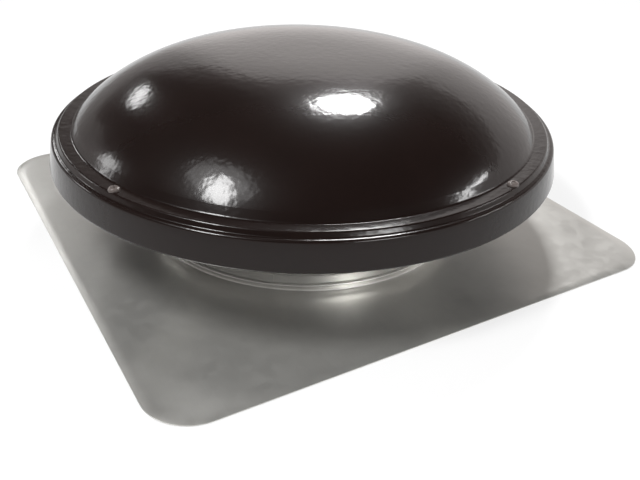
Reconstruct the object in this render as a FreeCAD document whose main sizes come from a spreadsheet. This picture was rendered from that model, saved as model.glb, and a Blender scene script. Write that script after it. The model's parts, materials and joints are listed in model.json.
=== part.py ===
import FreeCAD, Part
import os
import re

import Sketcher

# Powered attic fan for a roof, in millimetres. +Z is up and the origin is the centre of the
# flashing's underside. A size named _azimuth is in degrees about +Z, counted from +X.

SIZES = {
    # Flashing: the square sheet that lies under the shingles, with a collar round its opening
    "flashing_side": 610,
    "flashing_corner": 50,
    "flashing_gauge": 1.0,
    "collar_height": 6.4,
    "collar_roll": 1.6,
    # Throat: the rolled band that the air rises through
    "throat_radius": 192,
    "throat_gauge": 1.0,
    "throat_height": 120,
    "throat_bead_height": 23.7,
    "throat_bead_depth": 1.6,
    "throat_bead_width": 7,
    "throat_lip": 4,
    "seam_azimuth": 227.5,
    "seam_width": 14,
    # Dome: a spun cover with a flat ledge, a step, a rolled rim and a flared skirt. A size named
    # _reach or _drop is counted from the point before it, going outwards from the crown's foot
    "dome_height": 205.8,
    "dome_gauge": 1.0,
    "dome_foot_radius": 270.7,
    "dome_fullness": 2.97,
    "dome_shoulder": 1.18,
    "ledge_height": 129.4,
    "ledge_reach": 15.9,
    "step_reach": 2.8,
    "step_drop": 5.3,
    "roll_reach": 5,
    "roll_drop": 0.4,
    "bend_reach": 2.2,
    "bend_drop": 10.3,
    "skirt_reach": 3.4,
    "skirt_drop": 20.4,
    # Dome screws and the straps that carry the dome from the throat
    "dome_screw_azimuth": 19.8,
    "dome_screw_count": 4,
    "dome_screw_inset": 9.8,
    "screw_shank": 2.4,
    "screw_head": 6.2,
    "screw_rise": 3.0,
    "strap_width": 22,
    "strap_gauge": 2.0,
    "strap_foot": 58,
    "strap_turn": 90,
    "strap_tab_start": 1.3,
    "strap_tab_end": 4.5,
    "strap_rivet_inset": 8,
    "rivet_shank": 2.4,
    "rivet_head": 4.6,
    "rivet_rise": 1.4,
    "rivet_seat": 0.15,
    "nut_flats": 8,
    "nut_thickness": 3.0,
    "thread_spare": 1.5,
    # Bird guard: upright wires and hoops between the throat's rim and the dome
    "guard_wire": 1.8,
    "guard_bars": 36,
    "guard_lap": 22,
    "guard_rows": 2,
    "guard_top_gap": 0.8,
    "band_width": 9,
    "band_gauge": 0.8,
    "band_azimuth": 160,
    "band_opening": 2,
    "lug_reach": 11,
    # Motor bracket: a stamped cross of four channels, bolted inside the throat
    "arm_count": 4,
    "arm_azimuth": 45,
    "arm_width": 26,
    "arm_gauge": 2.0,
    "arm_height": 7,
    "arm_bend": 8,
    "arm_flange": 6,
    "arm_tab_top": 60,
    "plate_radius": 68,
    "plate_bore": 22,
    "tab_bolt_height": 42,
    "bolt_shank": 2.5,
    "bolt_head": 5,
    "bolt_rise": 2.6,
    # Motor: stands on four rubber isolators, with its shaft upwards
    "isolator_thickness": 5,
    "isolator_radius": 8,
    "isolator_neck": 5.5,
    "isolator_foot": 2,
    "motor_radius": 62,
    "motor_gauge": 1.5,
    "bell_height": 15,
    "bell_crown_radius": 59,
    "bell_chamfer": 4,
    "shell_height": 38,
    "bearing_radius": 11,
    "bearing_length": 14,
    "vent_count": 8,
    "vent_width": 7,
    "vent_inner": 24,
    "vent_outer": 46,
    "through_bolt_circle": 54,
    "stator_bore": 31,
    "stator_height": 30,
    "winding_inner": 34,
    "winding_outer": 49,
    "winding_rise": 9,
    "air_gap": 0.6,
    "rotor_height": 34,
    # Shaft and fits
    "shaft_radius": 6.35,
    "shaft_chamfer": 1.1,
    "shaft_flat": 0.8,
    "shaft_tail": 2,
    "shaft_top": 130,
    "running_clearance": 0.04,
    "seat_clearance": 0.02,
    "part_gap": 0.3,
    "slinger_radius": 17,
    "slinger_thickness": 2.5,
    "slinger_height": 87,
    # Propeller: five twisted and cambered blades on a spider
    "hub_height": 110,
    "hub_radius": 14,
    "hub_length": 26,
    "hub_flange_radius": 27,
    "hub_flange": 3,
    "set_screw_radius": 3,
    "fan_radius": 177.8,
    "blade_count": 5,
    "blade_gauge": 1.3,
    "root_station": 46,
    "root_chord": 78,
    "root_pitch": 34,
    "root_camber": 6,
    "mid_station": 110,
    "mid_chord": 122,
    "mid_pitch": 27,
    "mid_camber": 9,
    "tip_station": 184,
    "tip_chord": 140,
    "tip_pitch": 21,
    "tip_camber": 8,
    "root_half_width": 26,
    "blade_half_width": 52,
    "blade_corner": 22,
    "blade_rivet_inner": 60,
    "blade_rivet_outer": 82,
    "spider_gauge": 2.4,
    "spider_disc": 36,
    "spider_arm_width": 26,
    "spider_arm_root": 26,
    "spider_root_gauge": 1.6,
    "spider_arm_start": 46,
    "spider_arm_end": 93,
    # Control box inside the throat, with its cover and dial facing down
    "box_width": 100,
    "box_depth": 54,
    "box_height": 46,
    "box_gauge": 1.2,
    "box_bottom": 14,
    "box_lug": 12,
    "box_screw_low": 20,
    "box_screw_high": 36,
    "knockout_radius": 11.1,
    "knockout_inset": 17.4,
    "lead_hole_radius": 7,
    "grommet_lip": 2,
    "grommet_bore": 4,
    "thermostat_width": 40,
    "thermostat_depth": 30,
    "thermostat_height": 20,
    "dial_radius": 15,
    "dial_thickness": 4,
    "dial_stem": 3,
    "dial_stem_length": 16,
    "dial_chamfer": 2.1,
    "dial_grip": 4,
    "dial_grip_reach": 12,
}

X = FreeCAD.Vector(1, 0, 0)
Y = FreeCAD.Vector(0, 1, 0)
Z = FreeCAD.Vector(0, 0, 1)
ORIGIN = FreeCAD.Vector(0, 0, 0)
STANDING = FreeCAD.Rotation(X, 90)
SIDEWAYS = FreeCAD.Rotation(X, -90)
OUTWARD = FreeCAD.Rotation(Y, 90)
INWARD = FreeCAD.Rotation(Y, -90)
UPSIDE_DOWN = FreeCAD.Rotation(X, 180)
LEVEL = FreeCAD.Rotation()

doc = FreeCAD.newDocument("AtticFan")
sheet = doc.addObject("Spreadsheet::Sheet", "Sizes")
for row, (alias, number) in enumerate(SIZES.items(), start=1):
    sheet.set(f"A{row}", alias)
    sheet.set(f"B{row}", str(number))
    sheet.setAlias(f"B{row}", alias)
doc.recompute()
nodes = []


def bound(expression):
    """The expression with each size's name turned into its cell in the sheet."""
    return re.sub(r"[a-z]+(_[a-z]+)+", lambda found: "Sizes." + found[0], expression)


def value(expression):
    """What an expression on the sizes comes to now."""
    return float(sheet.evalExpression(bound(expression)))


def count(expression):
    return int(round(value(expression)))


def size(item, **expressions):
    """Ties properties of an item to expressions on the sizes."""
    for name, expression in expressions.items():
        item.setExpression(name, bound(expression))


def node(item, label):
    """Keeps an item as a finished piece under its own name."""
    item.Label = label
    nodes.append(item)
    return item


# Sketches


def fix(sketch, geometry, point, across, up):
    """Ties a point of a sketch to two expressions."""
    for kind, axis, expression in (("DistanceX", -2, across), ("DistanceY", -1, up)):
        if expression == "0":
            sketch.addConstraint(Sketcher.Constraint("PointOnObject", geometry, point, axis))
            continue
        tie = Sketcher.Constraint(kind, -1, 1, geometry, point, value(expression))
        number = sketch.addConstraint(tie)
        sketch.setExpression(f"Constraints[{number}]", bound(expression))


def draw(sketch, corners, closed=True):
    """Draws lines and arcs from corner to corner. A corner is a pair of expressions; one of
    four is reached by an arc, through the point that its last two name."""
    places = [FreeCAD.Vector(value(corner[0]), value(corner[1]), 0) for corner in corners]
    runs = []
    for k, corner in enumerate(corners):
        if k == 0 and not closed:
            continue
        start = places[k - 1]
        if len(corner) == 4:
            through = FreeCAD.Vector(value(corner[2]), value(corner[3]), 0)
            run = sketch.addGeometry(Part.Arc(start, through, places[k]))
            mark = sketch.addGeometry(Part.Point(through), True)
            fix(sketch, mark, 1, corner[2], corner[3])
            sketch.addConstraint(Sketcher.Constraint("PointOnObject", mark, 1, run))
        else:
            run = sketch.addGeometry(Part.LineSegment(start, places[k]))
        near, far = sorted((1, 2), key=lambda end: sketch.getPoint(run, end).distanceToPoint(start))
        runs.append((run, near, far))
        fix(sketch, run, far, corner[0], corner[1])
    if not closed:
        fix(sketch, runs[0][0], runs[0][1], corners[0][0], corners[0][1])
    for before, after in zip(runs, runs[1:] + (runs[:1] if closed else [])):
        tie = Sketcher.Constraint("Coincident", before[0], before[2], after[0], after[1])
        sketch.addConstraint(tie)


def circle(sketch, radius, across="0", up="0"):
    """Adds a circle to a sketch."""
    centre = FreeCAD.Vector(value(across), value(up), 0)
    ring = sketch.addGeometry(Part.Circle(centre, Z, value(radius)))
    fix(sketch, ring, 3, across, up)
    number = sketch.addConstraint(Sketcher.Constraint("Radius", ring, value(radius)))
    sketch.setExpression(f"Constraints[{number}]", bound(radius))


def rectangle(left, right, low, high):
    """The four corners of a rectangle, as expressions."""
    return [(left, low), (right, low), (right, high), (left, high)]


def free_sketch(name, corners, closed=True, upright=True):
    """A sketch that stands by itself, in the XZ plane or in the XY plane."""
    sketch = doc.addObject("Sketcher::SketchObject", name)
    sketch.Placement = FreeCAD.Placement(ORIGIN, STANDING if upright else LEVEL)
    draw(sketch, corners, closed)
    return sketch


# Bodies with features


def new_body(name):
    return doc.addObject("PartDesign::Body", name)


def body_sketch(body, name, role, corners=None, lift=None):
    """A sketch on one of the body's own planes, lifted along the plane's normal."""
    sketch = body.newObject("Sketcher::SketchObject", name)
    plane = next(item for item in body.Origin.OriginFeatures if item.Role == role)
    sketch.AttachmentSupport = (plane, [""])
    sketch.MapMode = "FlatFace"
    if lift is not None:
        sketch.setExpression("AttachmentOffset.Base.z", bound(lift))
    if corners is not None:
        draw(sketch, corners)
    return sketch


def feature(body, kind, name, profile, **expressions):
    """Adds a feature made from a sketch to a body."""
    item = body.newObject("PartDesign::" + kind, name)
    item.Profile = profile
    size(item, **expressions)
    return item


def turn(body, name, profile, kind="Revolution"):
    """Turns a sketch round its own upright axis."""
    item = feature(body, kind, name, profile)
    item.ReferenceAxis = (profile, ["V_Axis"])
    item.Angle = 360
    return item


# Parts by themselves


def bent_sheet(name, path, gauge, side):
    """A path thickened to one side by a sheet's gauge: side is - for the right, + for the left."""
    wall = doc.addObject("Part::Offset2D", name + "_wall")
    wall.Source = free_sketch(name + "_path", path, closed=False)
    wall.Fill = True
    wall.Mode = "Skin"
    wall.Join = "Intersection"
    size(wall, Value=side + gauge)
    return wall


def revolved(name, source, angle=360):
    """Turns an upright outline round the Z axis."""
    item = doc.addObject("Part::Revolution", name)
    item.Source = source
    item.Axis = Z
    item.Base = ORIGIN
    item.Angle = angle
    item.Solid = True
    return item


def extruded(name, source, width):
    """Draws an upright outline out to both sides of its plane."""
    item = doc.addObject("Part::Extrusion", name)
    item.Base = source
    item.DirMode = "Custom"
    item.Dir = Y
    item.Solid = True
    item.Symmetric = True
    size(item, LengthFwd=width)
    return item


def settle(item, azimuth="0", radius="0", height="0", pose=LEVEL, aside="0"):
    """Poses an item, sets it at a radius, a step aside and a height, and turns it to its azimuth."""
    item.Placement = FreeCAD.Placement(ORIGIN, FreeCAD.Rotation(Z, value(azimuth)).multiply(pose))
    spread = (
        ("x", f"({radius}) * cos({azimuth}) - ({aside}) * sin({azimuth})"),
        ("y", f"({radius}) * sin({azimuth}) + ({aside}) * cos({azimuth})"),
        ("z", height),
    )
    for axis, place in spread:
        item.setExpression("Placement.Base." + axis, bound(place))
    return item


def cylinder(name, radius, height):
    item = doc.addObject("Part::Cylinder", name)
    size(item, Radius=radius, Height=height)
    return item


def block(name, length, width, height, at=("0", "0", "0")):
    """A box whose lowest corner is at three expressions."""
    item = doc.addObject("Part::Box", name)
    size(item, Length=length, Width=width, Height=height)
    for axis, place in zip("xyz", at):
        item.setExpression("Placement.Base." + axis, bound(place))
    return item


def fused(name, items):
    item = doc.addObject("Part::MultiFuse", name)
    item.Shapes = items
    return item


def cut(name, base, tools):
    """Takes the tools out of the base."""
    item = doc.addObject("Part::Cut", name)
    item.Base = base
    item.Tool = tools[0] if len(tools) == 1 else fused(name + "_tools", tools)
    return item


def group(name, items):
    """Separate solids that share one node."""
    item = doc.addObject("Part::Compound", name)
    item.Links = items
    return item


def quarters(start, copies):
    """The azimuths of evenly spaced copies, as expressions."""
    return [f"{start} + 360 / {copies} * {k}" for k in range(count(copies))]


HEAD_CROWN = 0.8


def button(name, head, rise, shank, length):
    """The outline of a pan-headed screw: its head above the seat and its shank below. The
    head's crown is as wide as a share of its rim."""
    return free_sketch(
        name,
        [
            ("0", f"-({length})"),
            (shank, f"-({length})"),
            (shank, "0"),
            (head, "0"),
            (f"{head} * {HEAD_CROWN}", rise),
            ("0", rise),
        ],
    )


def prism(name, sides, flats, height):
    """An upright prism, sized across its flats."""
    item = doc.addObject("Part::Prism", name)
    item.Polygon = sides
    size(item, Circumradius=f"{flats} / 2 / cos(180 / {sides})", Height=height)
    return item


def hex_bolt(name, shank, length):
    """A hexagon-headed bolt: its head above the seat and its shank below."""
    head = prism(name + "_head", 6, "nut_flats", "bolt_rise")
    stem = cylinder(name + "_stem", shank, length)
    return fused(name, [head, settle(stem, height=f"-({length})")])


def hex_nut(name, bore):
    """A hexagon nut that stands on its seat at height zero."""
    blank = prism(name + "_blank", 6, "nut_flats", "nut_thickness")
    return cut(name, blank, [cylinder(name + "_bore", bore, "nut_thickness")])


RIVET_SIDES = 8


def rivet(name, grip):
    """A rivet with a head at each end of its grip, a little clear of the curved sheets."""
    across = f"2 * rivet_shank * cos(180 / {RIVET_SIDES})"
    head = prism(name + "_head", RIVET_SIDES, "2 * rivet_head", "rivet_rise")
    stem = prism(name + "_stem", RIVET_SIDES, across, f"{grip} + 2 * rivet_seat")
    tail = prism(name + "_tail", RIVET_SIDES, "2 * rivet_head", "rivet_rise")
    settle(head, height="rivet_seat")
    settle(stem, height=f"-({grip}) - rivet_seat")
    settle(tail, height=f"-({grip}) - rivet_seat - rivet_rise")
    return fused(name, [head, stem, tail])


def ring(name, inner, outer, low, high):
    """A plain round ring."""
    return revolved(name, free_sketch(name + "_section", rectangle(inner, outer, low, high)))


THROAT_OUTER = "(throat_radius + throat_gauge)"
LEDGE_RADIUS = "(dome_foot_radius + ledge_reach)"
STEP_RADIUS = f"({LEDGE_RADIUS} + step_reach)"
STEP_HEIGHT = "(ledge_height - step_drop)"
ROLL_RADIUS = f"({STEP_RADIUS} + roll_reach)"
ROLL_HEIGHT = f"({STEP_HEIGHT} - roll_drop)"
BEND_RADIUS = f"({ROLL_RADIUS} + bend_reach)"
BEND_HEIGHT = f"({ROLL_HEIGHT} - bend_drop)"
SCREW_CIRCLE = "(dome_foot_radius + dome_screw_inset)"
LEDGE_UNDER = "(ledge_height - dome_gauge)"
STRAP_UNDER = "(ledge_height - dome_gauge - strap_gauge)"
STRAP_RIVETS = ("strap_foot + strap_rivet_inset", "strap_turn - strap_rivet_inset")
ARM_REACH = "sqrt(throat_radius ^ 2 - (arm_width / 2) ^ 2)"
ARM_TOP = "(arm_height + arm_gauge)"
MOTOR_FOOT = f"({ARM_TOP} + isolator_thickness)"
MOTOR_TOP = f"({MOTOR_FOOT} + 2 * bell_height + shell_height)"
MOTOR_MIDDLE = f"({MOTOR_FOOT} + bell_height + shell_height / 2)"
BOX_BACK = "sqrt(throat_radius ^ 2 - (box_width / 2) ^ 2)"
BOX_FRONT = f"({BOX_BACK} - box_depth)"
BOX_MIDDLE = f"({BOX_BACK} - box_depth / 2)"
COVER_BOTTOM = "(box_bottom - box_gauge)"
BOX_SCREWS = ("box_bottom + box_screw_low", "box_bottom + box_screw_high")

DOME_SCREWS = quarters("dome_screw_azimuth", "dome_screw_count")
ARMS = quarters("arm_azimuth", "arm_count")
BLADES = quarters("0", "blade_count")


# Flashing


def make_flashing():
    body = new_body("flashing")
    low, high = "-flashing_side / 2", "flashing_side / 2"
    plan = body_sketch(body, "flashing_plan", "XY_Plane", rectangle(low, high, low, high))
    blank = feature(body, "Pad", "flashing_blank", plan, Length="flashing_gauge")
    doc.recompute()
    rounded = body.newObject("PartDesign::Fillet", "flashing_corners")
    upright = [
        f"Edge{k}"
        for k, edge in enumerate(blank.Shape.Edges, start=1)
        if edge.firstVertex().Z != edge.lastVertex().Z
    ]
    rounded.Base = (blank, upright)
    size(rounded, Radius="flashing_corner")
    mouth = body_sketch(body, "flashing_mouth", "XY_Plane")
    circle(mouth, THROAT_OUTER)
    opening = feature(body, "Pocket", "flashing_opening", mouth, Length="flashing_gauge")
    opening.Reversed = True
    wall = f"{THROAT_OUTER} + flashing_gauge"
    collar = body_sketch(
        body,
        "collar_section",
        "XZ_Plane",
        [
            (THROAT_OUTER, "0"),
            (wall, "0"),
            (wall, "collar_height"),
            (f"{wall} + collar_roll", "collar_height + collar_roll"),
            (THROAT_OUTER, "collar_height + 2 * collar_roll"),
        ],
    )
    turn(body, "flashing_collar", collar)
    node(body, "flashing")


# Throat


def wall_holes(name):
    """The holes through the throat's wall, for the rivets, bolts and screws that pass it."""
    tools = []
    rows = [(DOME_SCREWS, STRAP_RIVETS, "rivet_shank")]
    rows.append((ARMS, ("tab_bolt_height",), "bolt_shank"))
    rows.append((["0"], BOX_SCREWS, "screw_shank"))
    for azimuths, heights, shank in rows:
        for azimuth in azimuths:
            for height in heights:
                tool = cylinder(name, f"{shank} + seat_clearance", "throat_gauge * 4")
                start = "throat_radius - throat_gauge"
                tools.append(settle(tool, azimuth, start, height, OUTWARD))
    return tools


def make_throat():
    bead_half = "throat_bead_width / 2"
    path = [
        (f"{THROAT_OUTER} - throat_lip", "throat_height"),
        (THROAT_OUTER, "throat_height"),
        (THROAT_OUTER, f"throat_bead_height + {bead_half}"),
        (f"{THROAT_OUTER} + throat_bead_depth", "throat_bead_height"),
        (THROAT_OUTER, f"throat_bead_height - {bead_half}"),
        (THROAT_OUTER, "0"),
    ]
    band = revolved("throat_band", bent_sheet("throat", path, "throat_gauge", "-"))
    lap = free_sketch(
        "seam_section",
        rectangle(
            THROAT_OUTER,
            f"{THROAT_OUTER} + throat_gauge",
            f"throat_bead_height + {bead_half}",
            "throat_height - guard_lap - throat_gauge",
        ),
    )
    seam = revolved("seam", lap)
    size(seam, Angle=f"seam_width / {THROAT_OUTER} * 180 / pi")
    settle(seam, "seam_azimuth")
    node(cut("throat", fused("seamed_band", [band, seam]), wall_holes("wall_hole")), "throat_ring")


# Dome


def crown(fraction):
    """A point of the dome's outer surface, at a fraction of its foot's radius."""
    fall = f"(1 - ({fraction}) ^ dome_fullness) ^ (1 / dome_shoulder)"
    return (
        f"(({fraction}) * dome_foot_radius)",
        f"(ledge_height + (dome_height - ledge_height) * {fall})",
    )


CAP_STOP = 0.36
CROWN_ARCS = ((0.58, 0.78), (0.91, 0.985))


def make_dome():
    rim, rim_height = crown(CAP_STOP)
    drop = f"(dome_height - {rim_height})"
    cap = f"(({rim} ^ 2 + {drop} ^ 2) / (2 * {drop}))"
    halfway = f"({rim} / 2)"
    path = [("0", "dome_height")]
    path.append(
        (rim, rim_height, halfway, f"dome_height - {cap} + sqrt({cap} ^ 2 - {halfway} ^ 2)")
    )
    for through, stop in CROWN_ARCS:
        path.append(crown(stop) + crown(through))
    path += [
        ("dome_foot_radius", "ledge_height"),
        (LEDGE_RADIUS, "ledge_height"),
        (STEP_RADIUS, STEP_HEIGHT),
        (ROLL_RADIUS, ROLL_HEIGHT),
        (BEND_RADIUS, BEND_HEIGHT),
        (f"{BEND_RADIUS} + skirt_reach", f"{BEND_HEIGHT} - skirt_drop"),
    ]
    shell = revolved("dome_shell", bent_sheet("dome", path, "dome_gauge", "-"))
    tools = []
    for azimuth in DOME_SCREWS:
        hole = cylinder("screw_hole", "screw_shank + seat_clearance", "dome_gauge * 4")
        tools.append(settle(hole, azimuth, SCREW_CIRCLE, f"{LEDGE_UNDER} - dome_gauge"))
    node(cut("dome_cover", shell, tools), "dome")


def make_straps():
    path = [
        (THROAT_OUTER, "strap_foot"),
        (THROAT_OUTER, "strap_turn"),
        ("dome_foot_radius + strap_tab_start", LEDGE_UNDER),
        (f"{SCREW_CIRCLE} + strap_tab_end", LEDGE_UNDER),
    ]
    for k, azimuth in enumerate(DOME_SCREWS, start=1):
        name = f"dome_bracket_{k}"
        blank = extruded(name + "_blank", bent_sheet(name, path, "strap_gauge", "-"), "strap_width")
        tools = []
        for height in STRAP_RIVETS:
            tool = cylinder(name + "_hole", "rivet_shank + seat_clearance", "strap_gauge * 3")
            tools.append(settle(tool, "0", "throat_radius", height, OUTWARD))
        tool = cylinder(name + "_hole", "screw_shank + seat_clearance", "strap_gauge * 3")
        tools.append(settle(tool, "0", SCREW_CIRCLE, f"{STRAP_UNDER} - strap_gauge"))
        node(settle(cut(name + "_cut", blank, tools), azimuth), name)


def make_dome_fasteners():
    grip = "dome_gauge + strap_gauge + nut_thickness + thread_spare"
    profile = button("dome_screw", "screw_head", "screw_rise", "screw_shank", grip)
    screws = [
        settle(revolved("dome_screw_one", profile), azimuth, SCREW_CIRCLE, "ledge_height")
        for azimuth in DOME_SCREWS
    ]
    node(group("dome_screw_set", screws), "dome_screws")
    nuts = [
        settle(
            hex_nut("dome_nut", "screw_shank + seat_clearance"),
            azimuth,
            SCREW_CIRCLE,
            STRAP_UNDER,
            UPSIDE_DOWN,
        )
        for azimuth in DOME_SCREWS
    ]
    node(group("dome_nut_set", nuts), "dome_nuts")
    rivets = [
        settle(
            rivet("strap_rivet", "throat_gauge + strap_gauge"),
            azimuth,
            f"{THROAT_OUTER} + strap_gauge",
            height,
            OUTWARD,
        )
        for azimuth in DOME_SCREWS
        for height in STRAP_RIVETS
    ]
    node(group("strap_rivet_set", rivets), "dome_bracket_rivets")


# Bird guard


def make_guard():
    low = "(throat_height - guard_lap)"
    outer = f"({THROAT_OUTER} + guard_wire)"
    top = f"({crown(outer + ' / dome_foot_radius')[1]} - dome_gauge - guard_top_gap)"
    row = f"(({top} - {low} - guard_wire) / guard_rows)"
    sleeve = ring("guard_sleeve", THROAT_OUTER, outer, low, top)
    width = f"(2 * {outer} * sin(180 / guard_bars) - guard_wire)"
    windows = []
    for azimuth in quarters("0", "guard_bars"):
        for k in range(count("guard_rows")):
            window = block("guard_window", "4 * guard_wire", width, f"{row} - guard_wire")
            floor = f"{low} + guard_wire + {k} * {row}"
            start = f"{THROAT_OUTER} - 2 * guard_wire"
            windows.append(settle(window, azimuth, start, floor, aside=f"-{width} / 2"))
    meshes = group("guard_meshes", windows)
    screen = doc.addObject("Part::Cut", "guard")
    screen.Base = sleeve
    screen.Tool = meshes
    node(screen, "bird_guard")


def make_band():
    inner = f"({THROAT_OUTER} + guard_wire)"
    outer = f"({inner} + band_gauge)"
    low = "(throat_height - guard_lap)"
    section = free_sketch("band_section", rectangle(inner, outer, low, f"{low} + band_width"))
    strip = revolved("band_strip", section)
    size(strip, Angle="360 - band_opening")
    first = block("band_lug", "lug_reach", "band_gauge", "band_width", (inner, "0", low))
    second = block("band_lug_end", "lug_reach", "band_gauge", "band_width", ("0", "0", low))
    settle(second, "-band_opening", inner, low, aside="-band_gauge")
    tools = []
    reach = f"({outer} + lug_reach / 2)"
    gap = f"({inner} * sin(band_opening))"
    tool = cylinder("band_hole", "screw_shank + seat_clearance", f"{gap} + 8 * band_gauge")
    tools.append(
        settle(
            tool, "0", reach, f"{low} + band_width / 2", SIDEWAYS, aside=f"-{gap} - 4 * band_gauge"
        )
    )
    whole = cut("band", fused("band_blank", [strip, first, second]), tools)
    node(settle(whole, "band_azimuth"), "guard_band")
    screw = settle(
        hex_bolt("band_screw", "screw_shank", f"{gap} + 3 * band_gauge + nut_thickness"),
        "band_azimuth",
        reach,
        f"{low} + band_width / 2",
        SIDEWAYS,
        aside="band_gauge",
    )
    node(screw, "guard_band_screw")


# Motor bracket


def make_motor_bracket():
    bend = "arm_bend * (1 - cos(45))"
    path = [
        ("0", "arm_height"),
        (f"{ARM_REACH} - arm_bend", "arm_height"),
        (ARM_REACH, "arm_height + arm_bend", f"{ARM_REACH} - {bend}", f"arm_height + {bend}"),
        (ARM_REACH, "arm_tab_top"),
    ]
    pieces = []
    tools = []
    for azimuth in ARMS:
        strip = extruded("arm_strip", bent_sheet("arm", path, "arm_gauge", "+"), "arm_width")
        run = f"{ARM_REACH} - arm_bend - plate_radius"
        edges = [
            block("arm_flange_strip", run, "arm_gauge", "arm_gauge + arm_flange", at)
            for at in (
                ("plate_radius", "arm_width / 2 - arm_gauge", "arm_height"),
                ("plate_radius", "-arm_width / 2", "arm_height"),
            )
        ]
        pieces.append(settle(fused("arm_channel", [strip] + edges), azimuth))
        tool = cylinder("tab_hole", "bolt_shank + seat_clearance", "arm_gauge * 3")
        inside = f"{ARM_REACH} - 2 * arm_gauge"
        tools.append(settle(tool, azimuth, inside, "tab_bolt_height", OUTWARD))
        tool = cylinder("isolator_hole", "isolator_neck", "arm_gauge * 3")
        tools.append(settle(tool, azimuth, "through_bolt_circle", "arm_height - arm_gauge"))
    plate = cylinder("plate", "plate_radius", "arm_gauge")
    pieces.append(settle(plate, height="arm_height"))
    bore = cylinder("plate_hole", "plate_bore", "arm_gauge * 3")
    tools.append(settle(bore, height="arm_height - arm_gauge"))
    node(cut("cross", fused("cross_blank", pieces), tools), "motor_bracket")


def make_bracket_fasteners():
    inside = f"({ARM_REACH} - arm_gauge)"
    grip = f"{THROAT_OUTER} - {inside} + nut_thickness + thread_spare"
    bolts = []
    nuts = []
    for azimuth in ARMS:
        bolt = hex_bolt("tab_bolt", "bolt_shank", grip)
        bolts.append(settle(bolt, azimuth, THROAT_OUTER, "tab_bolt_height", OUTWARD))
        nut = hex_nut("tab_nut", "bolt_shank + seat_clearance")
        nuts.append(settle(nut, azimuth, inside, "tab_bolt_height", INWARD))
    node(group("tab_bolt_set", bolts), "motor_bracket_bolts")
    node(group("tab_nut_set", nuts), "motor_bracket_nuts")


# Motor


def make_bell(label, seat, sign, side):
    """An end bell: a bearing cup, a vented floor and a rim. The sign points into the motor."""
    path = [
        ("bearing_radius", f"{seat} {sign} bearing_length"),
        ("bearing_radius", seat),
        ("bell_crown_radius", seat),
        ("motor_radius", f"{seat} {sign} bell_chamfer"),
        ("motor_radius", f"{seat} {sign} bell_height"),
    ]
    shell = revolved(label + "_shell", bent_sheet(label, path, "motor_gauge", side))
    floor = f"{seat} - 2 * motor_gauge"
    tools = []
    for azimuth in ARMS:
        tool = cylinder(label + "_hole", "bolt_shank + seat_clearance", "4 * motor_gauge")
        tools.append(settle(tool, azimuth, "through_bolt_circle", floor))
    for azimuth in quarters("0", "vent_count"):
        slot = block(label + "_vent", "vent_outer - vent_inner", "vent_width", "4 * motor_gauge")
        tools.append(settle(slot, azimuth, "vent_inner", floor, aside="-vent_width / 2"))
    node(cut(label + "_cut", shell, tools), label)


def make_motor():
    make_bell("lower_end_bell", MOTOR_FOOT, "+", "+")
    make_bell("upper_end_bell", MOTOR_TOP, "-", "-")
    inner = "(motor_radius - motor_gauge)"
    node(
        ring(
            "shell",
            inner,
            "motor_radius",
            f"{MOTOR_FOOT} + bell_height",
            f"{MOTOR_TOP} - bell_height",
        ),
        "motor_shell",
    )
    low = f"({MOTOR_MIDDLE} - stator_height / 2)"
    high = f"({MOTOR_MIDDLE} + stator_height / 2)"
    tools = []
    for azimuth in ARMS:
        tool = cylinder("stator_hole", "bolt_shank + seat_clearance", "stator_height + arm_gauge")
        tools.append(settle(tool, azimuth, "through_bolt_circle", f"{low} - arm_gauge / 2"))
    node(cut("stator", ring("stack", "stator_bore", inner, low, high), tools), "stator_core")
    coils = [
        ring("coil_low", "winding_inner", "winding_outer", f"{low} - winding_rise", low),
        ring("coil_high", "winding_inner", "winding_outer", high, f"{high} + winding_rise"),
    ]
    node(group("coils", coils), "stator_windings")
    bore = "shaft_radius + running_clearance"
    lower_end = f"({MOTOR_FOOT} + bearing_length)"
    upper_end = f"({MOTOR_TOP} - bearing_length)"
    node(ring("low_bush", bore, "bearing_radius", MOTOR_FOOT, lower_end), "lower_bearing")
    node(ring("high_bush", bore, "bearing_radius", upper_end, MOTOR_TOP), "upper_bearing")
    core_low = f"({MOTOR_MIDDLE} - rotor_height / 2)"
    core_high = f"({MOTOR_MIDDLE} + rotor_height / 2)"
    seat = "shaft_radius + seat_clearance"
    node(ring("core", seat, "stator_bore - air_gap", core_low, core_high), "rotor_core")
    washers = [
        ring("washer_low", seat, "bearing_radius", f"{lower_end} + part_gap", core_low),
        ring("washer_high", seat, "bearing_radius", core_high, f"{upper_end} - part_gap"),
    ]
    node(group("washers", washers), "thrust_washers")


def make_motor_fasteners():
    foot = "(arm_height - isolator_foot)"
    section = [
        ("bolt_shank + seat_clearance", foot),
        ("isolator_radius", foot),
        ("isolator_radius", "arm_height"),
        ("isolator_neck", "arm_height"),
        ("isolator_neck", ARM_TOP),
        ("isolator_radius", ARM_TOP),
        ("isolator_radius", MOTOR_FOOT),
        ("bolt_shank + seat_clearance", MOTOR_FOOT),
    ]
    profile = free_sketch("isolator_section", section)
    grip = f"{MOTOR_TOP} - {foot} + nut_thickness"
    isolators = []
    bolts = []
    nuts = []
    for azimuth in ARMS:
        isolators.append(settle(revolved("isolator_one", profile), azimuth, "through_bolt_circle"))
        bolt = hex_bolt("through_bolt", "bolt_shank", grip)
        bolts.append(settle(bolt, azimuth, "through_bolt_circle", MOTOR_TOP))
        nut = hex_nut("through_nut", "bolt_shank + seat_clearance")
        nuts.append(settle(nut, azimuth, "through_bolt_circle", foot, UPSIDE_DOWN))
    node(group("isolator_set", isolators), "motor_isolators")
    node(group("through_bolt_set", bolts), "through_bolts")
    node(group("through_nut_set", nuts), "through_bolt_nuts")


# Shaft and propeller

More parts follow.
